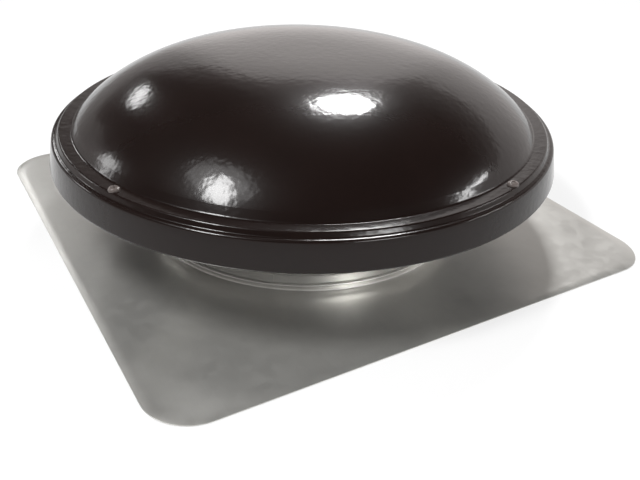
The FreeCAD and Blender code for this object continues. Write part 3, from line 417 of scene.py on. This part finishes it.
def grid_faces(rows, columns, around=True, along=True):
    """Four-sided faces between the neighbours of a grid whose points are numbered row by row."""
    row = np.arange(rows if along else rows - 1)[:, None]
    column = np.arange(columns if around else columns - 1)[None, :]
    near, far = row * columns, (row + 1) % rows * columns
    beside = (column + 1) % columns
    return np.stack((near + column, near + beside, far + beside, far + column), -1).reshape(-1, 4)


def finished(name, mesh, sharp=SHARP):
    """Merges doubled points, turns the faces outwards and rounds the shading, apart from sharp edges."""
    build = bmesh.new()
    build.from_mesh(mesh)
    bmesh.ops.remove_doubles(build, verts=build.verts, dist=DOUBLED)
    bmesh.ops.dissolve_degenerate(build, edges=build.edges, dist=SLIVER)
    bmesh.ops.recalc_face_normals(build, faces=build.faces)
    if build.calc_volume(signed=True) < 0:
        bmesh.ops.reverse_faces(build, faces=build.faces)
    build.to_mesh(mesh)
    build.free()
    mesh.shade_smooth()
    mesh.set_sharp_from_angle(angle=math.radians(sharp))
    piece = bpy.data.objects.new(name, mesh)
    scene.collection.objects.link(piece)
    return piece


def skin(name, points, around=True, along=True):
    """A piece from a grid of points (rows, columns, 3). Each flag joins that way's end to its start."""
    mesh = bpy.data.meshes.new(name)
    faces = grid_faces(*points.shape[:2], around, along)
    mesh.from_pydata(points.reshape(-1, 3).tolist(), [], faces.tolist())
    return finished(name, mesh)


def merged(name, meshes, sharp=SHARP):
    """Several closed meshes as one piece. Removing a mesh removes the object that showed it, too."""
    build = bmesh.new()
    for mesh in meshes:
        build.from_mesh(mesh)
        bpy.data.meshes.remove(mesh)
    mesh = bpy.data.meshes.new(name)
    build.to_mesh(mesh)
    build.free()
    return finished(name, mesh, sharp)


def dress(piece, node):
    """Puts a piece in a CAD node's place, on its body and in its finish."""
    slot = SLOTS[node]
    piece.data.materials.clear()
    piece.data.materials.append(FINISHES[slot])
    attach(piece, BODY[node])
    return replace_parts(piece, node)


def revolve(section, angles):
    """Carries a section of (radius, height) rows round the axis: x = r cos a, y = r sin a."""
    radius, height = np.asarray(section)[:, 0, None], np.asarray(section)[:, 1, None]
    level = np.broadcast_to(height, (len(section), len(angles)))
    return np.stack((radius * np.cos(angles), radius * np.sin(angles), level), -1)


def turn_about(points, degrees):
    """Turns points (..., 3) about the fan's axis."""
    cosine, sine = math.cos(math.radians(degrees)), math.sin(math.radians(degrees))
    return points @ np.array(((cosine, sine, 0), (-sine, cosine, 0), (0, 0, 1)))


FULL_TURN = np.linspace(0, 2 * np.pi, 192, endpoint=False)
print("surface helpers ready, columns in a full turn:", len(FULL_TURN))

# %% [markdown]
# ## Sections with rounded bends
# Sheet steel can't be folded sharp. A section is first drawn as straight runs, then each corner
# is swapped for an arc of its own bend radius, apart from a corner that hardly turns. The sheet's
# other face is the same line moved by its gauge.

# %% Bent sheet sections
STRAIGHT = math.radians(89)


def rounded(corners, radii, steps=5):
    """Straight runs whose corners become arcs: each arc starts radius / tan(half the corner) from it."""
    corners = [np.array(c, float) for c in corners]
    path = [corners[0]]
    for before, corner, after, radius in zip(corners, corners[1:], corners[2:], radii):
        inwards, outwards = before - corner, after - corner
        first, second = inwards / np.linalg.norm(inwards), outwards / np.linalg.norm(outwards)
        half = math.acos(np.clip(first @ second, -1, 1)) / 2
        if half > STRAIGHT:
            path.append(corner)
            continue
        reach = min(radius / math.tan(half), 0.48 * min(np.linalg.norm(inwards), np.linalg.norm(outwards)))
        radius = reach * math.tan(half)
        centre = corner + (first + second) / np.linalg.norm(first + second) * radius / math.sin(half)
        start, stop = corner + first * reach - centre, corner + second * reach - centre
        share = np.linspace(0, 1, steps + 1)[:, None]
        sweep = math.pi - 2 * half
        arc = (np.sin((1 - share) * sweep) * start + np.sin(share * sweep) * stop) / math.sin(sweep)
        path.extend(centre + arc)
    path.append(corners[-1])
    return np.array(path)


def sheet_loop(path, gauge):
    """A closed section: the path, then the same path moved by the gauge to its right, backwards."""
    path = np.asarray(path, float)
    run = np.diff(path, axis=0)
    run /= np.linalg.norm(run, axis=1)[:, None]
    ahead, behind = np.vstack((run, run[-1:])), np.vstack((run[:1], run))
    tangent = ahead + behind
    tangent /= np.linalg.norm(tangent, axis=1)[:, None]
    normal = np.stack((tangent[:, 1], -tangent[:, 0]), 1)
    stretch = 1 / np.clip((tangent * ahead).sum(1), 0.5, 1)
    other = path + normal * (gauge * stretch)[:, None]
    return np.vstack((path, other[::-1]))


print("bend helpers ready")

# %% [markdown]
# ## The dome
# The crown is flat over the middle and falls steeply at its foot, so one power curve fits it:
# height = ledge + rise * (1 - (r / foot radius) ^ 2.97) ^ (1 / 1.18). Below the foot the press
# leaves a flat ledge, a step, a rolled rim and a skirt that flares to its edge. The rim's corners
# are those of the solid, and here each of them gets its bend: the bends are what catch the lamps
# as thin bright lines. The ledge falls 0.8 mm towards the crown, as a pressed gutter. The curve
# stops just short of the foot, where it would stand upright, and the first bend takes over.

# %% Spin the dome
LEDGE, APEX, FOOT, GAUGE = 129.4, 205.8, 270.7, 1.0
FULLNESS, SHOULDER, CROWN_STOP = 2.97, 1.18, 0.978
GUTTER = 0.8
RIM = (
    ((FOOT + GUTTER, LEDGE - GUTTER), 4.0),
    ((286.2, LEDGE), 2.6),
    ((289.4, 124.1), 2.0),
    ((294.4, 123.7), 5.0),
    ((296.6, 113.4), 14.0),
    ((300.0, 94.4), 0.7),
)
EDGE = (299.4, 93.0)


def dome_section():
    """The dome's outer line from the axis to its edge, in millimetres."""
    share = CROWN_STOP * np.sin(np.linspace(0, np.pi / 2, 60)) ** 0.9
    rise = (APEX - LEDGE) * (1 - share**FULLNESS) ** (1 / SHOULDER)
    crown = np.stack((share * FOOT, LEDGE + rise), 1)
    corners, bends = zip(*RIM)
    return np.vstack((crown[:-1], rounded([crown[-1], *corners, EDGE], bends, 7)))


dome = dress(skin("dome_cover", revolve(sheet_loop(dome_section(), GAUGE) * MM, FULL_TURN)), "dome")
print("dome faces:", len(dome.data.polygons))

# %% [markdown]
# ## The screws in the dome
# Four pan-head screws hold the dome to its brackets, and they are sprayed with it. A head is a
# height over a disc: a flat crown, a round edge, and a cross-shaped recess pressed into it. Each
# screw stopped at its own turn. The heads are coloured pale all over: partly scuffs from a driver,
# partly a painted reflection of the pale room on their flat tops.

# %% Turn the screws
SCREW_TURNS = [19.8 + 90 * k for k in range(4)]
CROSS_TURNS = [31 + 17 * k for k in range(4)]
SCREW_CIRCLE = 280.5
HEAD = {"radius": 6.2, "rise": 3.0, "recess": 1.5, "arm": 0.6}
SHANK = {"radius": 2.4, "low": -7.4, "high": 0.2}


def screw_head(radius, rise, recess, arm, cross=0.56, side=0.25, end=0.35, seat=-1.0):
    """A pan head over a disc: an elliptic edge less a cross that is deep in the middle."""
    share = np.concatenate((np.linspace(0, 0.72, 22), np.linspace(0.76, 1.0, 12)))[:, None]
    angle = np.linspace(0, 2 * np.pi, 64, endpoint=False)[None, :]
    across, up = radius * share * np.cos(angle), radius * share * np.sin(angle)
    pan = rise * np.sqrt(np.clip(1 - share**4, 0, 1)) * np.ones_like(angle)
    beside = np.minimum(np.abs(across), np.abs(up))
    reach = np.maximum(np.abs(across), np.abs(up))
    cut = np.clip((arm - beside) / side, 0, 1) * np.clip((radius * cross - reach) / end, 0, 1)
    height = pan - recess * cut * (1 - 0.5 * reach / radius)
    top = np.stack((across, up, height), -1)
    rim = np.stack((across[-1:], up[-1:], np.full_like(height[-1:], seat)), -1)
    return np.concatenate((top, rim, rim * (0, 0, 1)), 0)


def rod(radius, low, high, sides=24):
    """A closed upright rod: a pole, two rings and a pole."""
    rows = [(0, low), (radius, low), (radius, high), (0, high)]
    return revolve(rows, np.linspace(0, 2 * np.pi, sides, endpoint=False))


def on_ledge(points, azimuth):
    """Moves points from the axis out to a screw's place on the ledge, and from millimetres to metres."""
    return turn_about(points + np.array((SCREW_CIRCLE, 0, LEDGE)), azimuth) * MM


def paint_sheen_and_wear(piece, share=1.0):
    """Writes on every point of a mesh how pale its paint turns: real scuffs and a painted reflection."""
    sheen_and_wear = piece.data.attributes.new("sheen_and_wear", "FLOAT", "POINT")
    sheen_and_wear.data.foreach_set("value", np.full(len(piece.data.vertices), share))
    return piece


heads = [on_ledge(turn_about(screw_head(**HEAD), c), a) for a, c in zip(SCREW_TURNS, CROSS_TURNS)]
shanks = [on_ledge(rod(**SHANK), a) for a in SCREW_TURNS]
parts = [skin("dome_screw_part", grid, along=False).data for grid in heads + shanks]
# The screw heads' pale colour is a painted reflection as well as real scuffs.
dress(paint_sheen_and_wear(merged("dome_screw_heads", parts)), "dome_screws")
print("dome screws:", len(heads))

# %% [markdown]
# ## The flashing
# The flashing is one sheet, 610 mm square with rounded corners. A round collar is drawn up out
# of it and its lip is rolled. Each column of the grid runs straight out from the axis: up the
# collar, over the lip, down and out over the sheet to the rounded square's edge, and back below.
# The columns crowd at the four corners, where the edge bends.

# %% Press the flashing
SIDE, CORNER, HOLE, SHEET = 305.0, 50.0, 193.05, 1.0
COLLAR, LIP_LEVEL, LIP_OUT, LIP_UP = 6.6, 8.0, 1.55, 1.6
FILLET, FILLET_TOP, FLAT_START, UNDER_START = 1.8, 6.0, 14, 8
CORNERS, CORNER_HALF = (45, 135, 225, 315), 9.5
SHEET_EDGE = ((0.4, 1.0), (0.12, 0.9), (0, 0.7), (0, 0.3), (0.12, 0.1), (0.4, 0.0))


def clustered(base, centres, half, count):
    """Angles round a circle: an even set, with more of them near each centre."""
    near = [np.radians(np.linspace(c - half, c + half, count)) for c in centres]
    even = np.linspace(0, 2 * np.pi, base, endpoint=False)
    angles = np.sort(np.concatenate([even] + near) % (2 * np.pi))
    return angles[np.append(True, np.diff(angles) > 1e-4)]


def rounded_square(angles):
    """How far the rounded square's edge is from the axis in each direction."""
    ray = np.stack((np.abs(np.cos(angles)), np.abs(np.sin(angles))), 1)
    straight = SIDE / ray.max(1)
    centre = SIDE - CORNER
    along = centre * ray.sum(1)
    arc = along + np.sqrt(np.clip(along**2 - 2 * centre**2 + CORNER**2, 0, None))
    return np.where((ray * straight[:, None]).min(1) > centre, arc, straight)


def press_flashing():
    """Rings of (reach, height) per column: collar, lip, fillet, flat, edge and underside."""
    angles = clustered(168, CORNERS, CORNER_HALF, 29)
    edge = rounded_square(angles)

    def ring(reach, height):
        return np.stack((np.broadcast_to(reach, angles.shape), np.full(len(angles), height)), 1)

    roll = np.linspace(math.radians(225), math.radians(-60), 14)
    lip = np.stack((HOLE + LIP_OUT + LIP_OUT * np.cos(roll), LIP_LEVEL + LIP_UP * np.sin(roll)), 1)
    wall, start, stop = HOLE + SHEET, HOLE + FLAT_START, edge - SHEET_EDGE[0][0]
    fillet = rounded([(wall, FILLET_TOP), (wall, SHEET), (start, SHEET)], (FILLET,), 6)
    rows = [ring(reach, height) for reach, height in [(HOLE, 0), (HOLE, COLLAR), *lip, *fillet]]
    rows += [ring(start + (stop - start) * share, SHEET) for share in np.linspace(0.12, 1, 12)[:-1]]
    rows += [ring(edge - inset, height) for inset, height in SHEET_EDGE]
    rows.append(ring(HOLE + UNDER_START, 0.0))
    reach, height = np.moveaxis(np.array(rows), -1, 0)
    points = np.stack((reach * np.cos(angles), reach * np.sin(angles), height), -1)
    return skin("flashing_sheet", points * MM)


flashing = dress(press_flashing(), "flashing")
print("flashing faces:", len(flashing.data.polygons))

# %% [markdown]
# ## The throat
# The throat is a band rolled into a ring, with its ends lapped and a bead rolled round it a
# little above the flashing. The lap shows as a narrow strip, one gauge proud of the band, above
# the bead and again below it.

# %% Roll the throat
THROAT, THROAT_TOP, THROAT_LIP, THROAT_GAUGE, BEAD = 193.0, 120.0, 189.0, 1.0, 194.7
BAND_TOP = ((THROAT_LIP, THROAT_TOP), (THROAT, THROAT_TOP))
BAND_BEAD = ((THROAT, 27.4), (BEAD, 25.2), (BEAD, 22.2), (THROAT, 20.2))
BAND_BENDS = (1.5, 2.5, 1.4, 1.4, 2.5)
LAP_SWEEP = np.radians(np.linspace(227.5, 231.66, 6))
LAP_SPANS = ((27.6, 96.6), (9.8, 19.9))


def lap_strip(low, high):
    """A curved strip one gauge thick between two heights, wrapped on the band over a few degrees."""
    under, outer = THROAT - 0.1, THROAT + 0.95
    strip = revolve(np.array([(under, low), (outer, low), (outer, high), (under, high)]) * MM, LAP_SWEEP)
    ends = strip.mean(0, keepdims=True)
    return np.concatenate((np.repeat(ends[:, :1], 4, 0), strip, np.repeat(ends[:, -1:], 4, 0)), 1)


line = rounded([*BAND_TOP, *BAND_BEAD, (THROAT, 0.0)], BAND_BENDS, 6)
band = revolve(sheet_loop(line, THROAT_GAUGE) * MM, FULL_TURN)
parts = [skin("throat_band_part", band).data]
parts += [skin("throat_lap_part", lap_strip(*span), around=False).data for span in LAP_SPANS]
throat = dress(merged("throat_band", parts), "throat_ring")
print("throat faces:", len(throat.data.polygons))

# %% [markdown]
# ## The bird guard
# Welded wire cloth bent into a hoop stands on the throat's rim and keeps birds out. Each wire is
# a thin tube: upright ones on the inside, level hoops on the outside, touching where they cross.

# %% Weld the guard
WIRE = 0.5
UPRIGHTS, UPRIGHT_CIRCLE, UPRIGHT_HEIGHTS = 108, 193.65, (98.4, 125, 150, 178.6)
HOOPS, HOOP_CIRCLE, HOOP_LOW, HOOP_HIGH = 8, 194.3, 98.8, 178.2
ROUND = 60


def tube(path, radius, sides=6, closed=False):
    """Carries a circle along a path of points (n, 3); the path's plane fixes the circle's first axis."""
    path = np.asarray(path, float)
    ahead = np.roll(path, -1, 0) - np.roll(path, 1, 0) if closed else np.gradient(path, axis=0)
    ahead /= np.linalg.norm(ahead, axis=1)[:, None]
    outwards = path * (1, 1, 0)
    outwards /= np.linalg.norm(outwards, axis=1)[:, None]
    beside = np.cross(ahead, outwards)
    beside /= np.linalg.norm(beside, axis=1)[:, None]
    outwards = np.cross(beside, ahead)
    angle = np.linspace(0, 2 * np.pi, sides, endpoint=False)[None, :, None]
    ring = path[:, None] + radius * (np.cos(angle) * outwards[:, None] + np.sin(angle) * beside[:, None])
    if closed:
        return ring
    return np.concatenate((path[None, :1].repeat(sides, 1), ring, path[None, -1:].repeat(sides, 1)), 0)


def tubes_mesh(name, grids, closed):
    """Many tubes of one shape in a single mesh, with no loop over their points."""
    stack = np.array(grids)
    count, rows, columns = stack.shape[:3]
    starts = (np.arange(count) * rows * columns)[:, None, None]
    faces = (grid_faces(rows, columns, along=closed)[None] + starts).reshape(-1, 4)
    mesh = bpy.data.meshes.new(name)
    mesh.from_pydata(stack.reshape(-1, 3).tolist(), [], faces.tolist())
    return mesh


def weld_guard():
    """Uprights stand evenly round one circle, and hoops lie evenly up another just outside it."""
    uprights = []
    for angle in np.linspace(0, 2 * np.pi, UPRIGHTS, endpoint=False):
        x, y = UPRIGHT_CIRCLE * math.cos(angle), UPRIGHT_CIRCLE * math.sin(angle)
        path = np.array([(x, y, height) for height in UPRIGHT_HEIGHTS])
        uprights.append(tube(path * MM, WIRE * MM))
    hoops = []
    for height in np.linspace(HOOP_LOW, HOOP_HIGH, HOOPS):
        path = revolve([(HOOP_CIRCLE, height)], FULL_TURN)[0]
        hoops.append(tube(path * MM, WIRE * MM, closed=True))
    meshes = tubes_mesh("uprights", uprights, False), tubes_mesh("hoops", hoops, True)
    return merged("guard_mesh", meshes, ROUND)


guard = dress(weld_guard(), "bird_guard")
print("guard faces:", len(guard.data.polygons))

# %% [markdown]
# ## The propeller blades
# A blade is a sheet with a twist and a camber. Across it the sheet is an arc, and along it the
# arcs at three stations are joined by straight lines, so every point is a mix of two arcs. Each
# station is a distance from the axis with the arc's chord, pitch and camber. The blade's outline
# seen from above is a paddle that ends on the fan's circle.

# %% Form the blades
STATIONS = ((46, 78, 34, 6), (110, 122, 27, 9), (184, 140, 21, 8))
FAN, HUB_LEVEL, BLADE_GAUGE, BLADES = 177.8, 110.0, 1.3, 5
ROOT, ROOT_HALF, BLADE_HALF, BLADE_CORNER, SWELL = 47.3, 26.0, 52.0, 22.0, 0.8


def arc_through(first, middle, last):
    """Centre and radius of the circle through three points."""
    (x1, y1), (x2, y2), (x3, y3) = first, middle, last
    lines = np.array(((x2 - x1, y2 - y1), (x3 - x1, y3 - y1))) * 2
    sums = np.array((x2**2 - x1**2 + y2**2 - y1**2, x3**2 - x1**2 + y3**2 - y1**2))
    centre = np.linalg.solve(lines, sums)
    return centre, np.hypot(x1 - centre[0], y1 - centre[1])


def bulge(x, centre, radius):
    """How far a circle stands from its centre's level at each x."""
    return np.sqrt(np.clip(radius**2 - (x - centre) ** 2, 0, None))


def blade_half_width(x):
    """Half the blade's width at each x: a swelling side, a round corner, then the fan's circle."""
    straight = math.sqrt(FAN**2 - BLADE_HALF**2) - BLADE_CORNER
    inset = BLADE_HALF - BLADE_CORNER
    tip = math.sqrt(FAN**2 - inset**2)
    swell = ((ROOT + straight) / 2, ROOT_HALF + SWELL * (BLADE_HALF - ROOT_HALF))
    centre, radius = arc_through((ROOT, ROOT_HALF), swell, (straight, BLADE_HALF))
    side = centre[1] + np.sign(BLADE_HALF - centre[1]) * bulge(x, centre[0], radius)
    bend = (0.3 * straight + 0.7 * tip, BLADE_HALF - 0.3 * BLADE_CORNER)
    middle, turn = arc_through((straight, BLADE_HALF), bend, (tip, inset))
    corner = middle[1] + bulge(x, middle[0], turn)
    return np.where(x < straight, side, np.where(x < tip, corner, bulge(x, 0, FAN)))


def sheet_height(x, y):
    """The middle surface's height over each point: a mix, along x, of the arcs at two stations."""
    share = np.linspace(-1, 1, 161)
    arcs = []
    for _, chord, pitch, camber in STATIONS:
        radius = ((chord / 2) ** 2 + camber**2) / (2 * camber)
        angle = share * math.asin(chord / 2 / radius)
        along, depth = radius * np.sin(angle), radius * np.cos(angle) - radius + camber
        cosine, sine = math.cos(math.radians(pitch)), math.sin(math.radians(pitch))
        arcs.append((along * cosine - depth * sine, HUB_LEVEL - along * sine - depth * cosine))
    height = np.empty_like(y)
    stops = [station[0] for station in STATIONS]
    for k, station in enumerate(x[:, 0]):
        part = 0 if station < stops[1] else 1
        mix = (station - stops[part]) / (stops[part + 1] - stops[part])
        line = [(1 - mix) * a + mix * b for a, b in zip(arcs[part], arcs[part + 1])]
        height[k] = np.interp(y[k], line[0], line[1])
    return height


def blade_grid():
    """Both faces of the blade from root to tip, half a gauge off its middle surface, thin at the sides."""
    reach = ROOT + (FAN - 0.02 - ROOT) * np.sin(np.linspace(0, np.pi / 2, 56)) ** 0.8
    across = np.sin(np.linspace(-np.pi / 2, np.pi / 2, 33))
    x = np.repeat(reach[:, None], len(across), 1)
    y = across[None, :] * blade_half_width(reach)[:, None]
    middle = np.stack((x, y, sheet_height(x, y)), -1)
    tilt = np.cross(np.gradient(middle, axis=0), np.gradient(middle, axis=1))
    tilt /= np.maximum(np.linalg.norm(tilt, axis=-1), 1e-9)[..., None]
    tilt[-1] = tilt[-2]
    edge = np.clip((1 - np.abs(across)) * 12, 0, 1)[None, :, None] ** 0.5
    top, under = middle + tilt * edge * BLADE_GAUGE / 2, middle - tilt * edge * BLADE_GAUGE / 2
    loop = np.concatenate((top, under[:, ::-1]), 1)
    closing = np.concatenate((middle[:1], middle[:1, ::-1]), 1)
    return np.concatenate((closing, loop), 0)


blade = blade_grid()
for k in range(BLADES):
    points = turn_about(blade, 360 / BLADES * k) * MM
    dress(skin(f"propeller_blade_{k + 1}", points, along=False), f"fan_blade_{k + 1}")
print("blade points:", blade.shape[0] * blade.shape[1])

# %% [markdown]
# ## The motor's windings
# Between the end bells the stator's coils show as two fat rings of wire. Each strand runs round
# the ring while it creeps round the ring's section, as the strands of a loose rope do.

# %% Wind the coils
STRANDS, LAYS, STRAND = 15, 3, 1.1
COIL_CIRCLE, COIL_ACROSS, COIL_UP, COIL_INSET = 41.5, 6.1, 3.1, 4.5


def coil_ring(middle):
    """Strand k at angle a sits at the section angle 2 pi k / strands + lays * a, on an ellipse."""
    angle = np.linspace(0, 2 * np.pi, 120, endpoint=False)
    grids = []
    for k in range(STRANDS):
        around = 2 * np.pi * k / STRANDS + LAYS * angle
        radius = COIL_CIRCLE + COIL_ACROSS * np.cos(around)
        height = middle + COIL_UP * np.sin(around)
        path = np.stack((radius * np.cos(angle), radius * np.sin(angle), height), 1)
        grids.append(tube(path * MM, STRAND * MM, closed=True))
    return grids


low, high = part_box("stator_windings")
rings = coil_ring(low.z / MM + COIL_INSET) + coil_ring(high.z / MM - COIL_INSET)
dress(finished("coil_strands", tubes_mesh("coil_strands", rings, True), ROUND), "stator_windings")
print("windings from", round(low.z / MM, 1), "to", round(high.z / MM, 1), "mm")

# %% [markdown]
# ## The rest of the solids
# The other solids already have their true shapes. Their meshes are loose triangles with flat
# shading, so each one is copied, its doubled points are merged, flat faces are joined again, and
# a fine bevel catches the light along the edges, as on any real edge.

# %% Smooth copies of the other solids
BEVEL = 0.0002
WIDER_BEVELS = {"motor_bracket": 0.0003, "control_box": 0.0003, "thermostat": 0.0006}


def smooth_copy(node, bevel):
    """A copy of a solid's mesh, merged and shaded round, with its edges bevelled by so many metres."""
    build = bmesh.new()
    build.from_mesh(frame["nodes"][node].data)
    bmesh.ops.remove_doubles(build, verts=build.verts, dist=1e-6)
    bmesh.ops.dissolve_limit(build, angle_limit=math.radians(1), verts=build.verts, edges=build.edges)
    mesh = bpy.data.meshes.new(node + "_skin")
    build.to_mesh(mesh)
    build.free()
    piece = finished(node + "_skin", mesh)
    edge = piece.modifiers.new("edge", "BEVEL")
    edge.width, edge.segments, edge.limit_method = bevel, 2, "ANGLE"
    edge.angle_limit = math.radians(SHARP)
    edge.use_clamp_overlap = True
    edge.harden_normals = True
    return dress(piece, node)


done = {name for piece in bpy.data.objects for name in piece.get("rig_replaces", [])}
for node in sorted(set(frame["nodes"]) - done):
    smooth_copy(node, WIDER_BEVELS.get(node, BEVEL))
print("copied:", len(frame["nodes"]) - len(done), "of", len(frame["nodes"]))

# %% [markdown]
# ## The studio
# The fan stands on a white floor in a pale room. Shiny paint shows what surrounds it, so the
# surroundings matter more than the lamps: a pale band near the horizon, taller behind the fan,
# gives the pale sweep over the dome's far side, and the darker ceiling keeps the enamel deep.
# Only reflections see those walls. The camera sees white, and other light from the room is a dim
# even grey. Seven soft lamps stand where the photograph's highlights say they stood.

# %% Light the room
DAYLIGHT = 0.1
BEHIND = math.radians(31)
CEILING, GLOW = (0.05, 0.046, 0.044, 1), (0.5, 0.465, 0.45, 1)
GREY_WALL, PALE_WALL, BACK_WALL = (0.45, 0.43, 0.42, 1), (1.0, 0.95, 0.93, 1), (1.4, 1.33, 1.3, 1)
AIM = np.array((0, 0, 0.1))
# Each row: name, azimuth and elevation in degrees, width and height in metres, strength, roll
LAMPS = (
    ("lamp_back_left", -9, 25.5, 0.42, 0.2, 10, -31),
    ("lamp_back_right", 41, 48.5, 0.46, 0.46, 55),
    ("lamp_left", -93, 56.5, 0.9, 0.36, 44, 48),
    ("lamp_left_wide", -82, 62, 1.1, 0.75, 3.4),
    ("lamp_low_left", -46, 23, 0.42, 0.42, 9),
    ("lamp_right", 121, 30, 1.0, 0.09, 40),
    ("lamp_front", 177, 26, 0.8, 0.32, 26),
)


def rays(finish):
    """1 on a ray of each kind and 0 on others: from the camera, from a mirror, through glass."""
    path = finish.add("ShaderNodeLightPath").socket.node
    return [Value(finish, path.outputs[f"Is {kind} Ray"]) for kind in ("Camera", "Glossy", "Transmission")]


def room():
    """A wall up to its crest, a glow that fades above it and a dark ceiling, by the direction looked in."""
    finish = Finish(bpy.data.worlds.new("studio"), "ShaderNodeOutputWorld")
    x, y, z = finish.parts(finish.add("ShaderNodeTexCoord", output=0))
    # Level directions: behind is 1 straight behind the fan, and across runs from -1 at -X to 1 at +X
    level = (1.0 - z * z) ** 0.5
    behind = (math.sin(BEHIND) * x + math.cos(BEHIND) * y) / level
    across = x / level
    # The crest is higher behind the fan and on the right, and has a low gap left of the middle
    gap = across.step(-0.35, -0.15) * (1.0 - across.step(0.08, 0.2))
    above = z - (0.35 + 0.15 * behind.step(0.955, 0.995) + 0.07 * across.step(0.6, 0.8) - 0.17 * gap)
    # Below the crest is wall, pale on both sides and brightest behind the fan. Above it the glow fades
    wall = 1.0 - above.step(-0.015, 0.02)
    glow = (1.0 - above.step(-0.05, 0.24)) * (0.35 + 0.65 * across.step(0.1, 0.35))
    pale = across.step(0.1, 0.4) + 0.55 * (1.0 - across.step(-0.6, -0.25))
    sides = finish.blend(pale, GREY_WALL, PALE_WALL)
    lower = finish.blend(behind.step(0.95, 0.99), sides, BACK_WALL)
    tone = finish.blend(wall, finish.blend(glow, CEILING, GLOW), lower)
    camera, mirror, glass = rays(finish)
    tone = finish.blend(mirror, (DAYLIGHT, DAYLIGHT, DAYLIGHT, 1), tone)
    tone = finish.blend(camera.math("MAXIMUM", camera, glass), tone, (1, 1, 1, 1))
    return finish.close(finish.add("ShaderNodeBackground", None, {"Color": tone, "Strength": 1.0}))


def lamp(name, azimuth, elevation, width, height, strength, roll=0, distance=2.2):
    """A soft lamp seen from the fan at an azimuth from +Y towards +X, rolled about its own beam."""
    azimuth, elevation, roll = np.radians((azimuth, elevation, roll))
    level, rise = np.cos(elevation), np.sin(elevation)
    back = np.array((np.sin(azimuth) * level, np.cos(azimuth) * level, rise))
    right = np.array((np.cos(azimuth), -np.sin(azimuth), 0.0))
    right, up = swing(right, np.cross(right, back), roll)
    data = bpy.data.lights.new(name, "AREA")
    data.shape, data.size, data.size_y = "ELLIPSE", width, height
    data.energy = strength * math.pi**2 * width * height / 4
    return stood(bpy.data.objects.new(name, data), -right, up, back, back * distance + AIM)


scene.world = room()
for settings in LAMPS:
    lamp(*settings)
print("lamps:", len(LAMPS))

# %% [markdown]
# ## The floor
# The floor is pale and plain. It is white to the camera and to every reflection, as the
# photograph's background is, but near the fan part of what it shows is its own shading, so the
# fan's shadow stays on it. A real fan sits over a hole in the roof: the floor has one too, under
# the flashing, and is clear from below, so that the motor and the propeller can be looked at.

# %% Lay the floor
FLOOR, FLOOR_HOLE, FLOOR_DROP = 6.0, 0.285, -0.0006
SHADE_START, SHADE_END = 0.8, 1.5


def floor():
    """A square of floor with a square hole: four outer corners, four inner ones, four sides."""
    mesh = bpy.data.meshes.new("studio_floor")
    turns = ((-1, -1), (1, -1), (1, 1), (-1, 1))
    points = [(half * x, half * y, FLOOR_DROP) for half in (FLOOR, FLOOR_HOLE) for x, y in turns]
    mesh.from_pydata(points, [], [(k, (k + 1) % 4, 4 + (k + 1) % 4, 4 + k) for k in range(4)])
    piece = bpy.data.objects.new("studio_floor", mesh)
    scene.collection.objects.link(piece)
    finish = material("studio_floor")
    matt = finish.add("ShaderNodeBsdfDiffuse", None, {"Color": (0.9, 0.9, 0.9, 1)})
    white = finish.add("ShaderNodeEmission", None, {"Color": (1, 1, 1, 1), "Strength": 1.0})
    camera, mirror, glass = rays(finish)
    away = finish.add("ShaderNodeVectorMath", {"operation": "LENGTH"}, (finish.place(),), 1)
    share = (0.6 + 0.4 * away.step(SHADE_START, SHADE_END)) * (camera + mirror + glass)
    shown = finish.add("ShaderNodeMixShader", None, (share, matt, white))
    clear = finish.add("ShaderNodeBsdfTransparent")
    under = finish.add("ShaderNodeNewGeometry", output=6)
    mesh.materials.append(finish.close(finish.add("ShaderNodeMixShader", None, (under, shown, clear))))
    piece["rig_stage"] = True
    return piece


floor()
print("floor laid, metres from side to side:", 2 * FLOOR)

# %% [markdown]
# ## Measure the size
# The dressed fan has to fill the same box as the solids, so its box is measured again.

# %% Measure and finish
low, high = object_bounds()
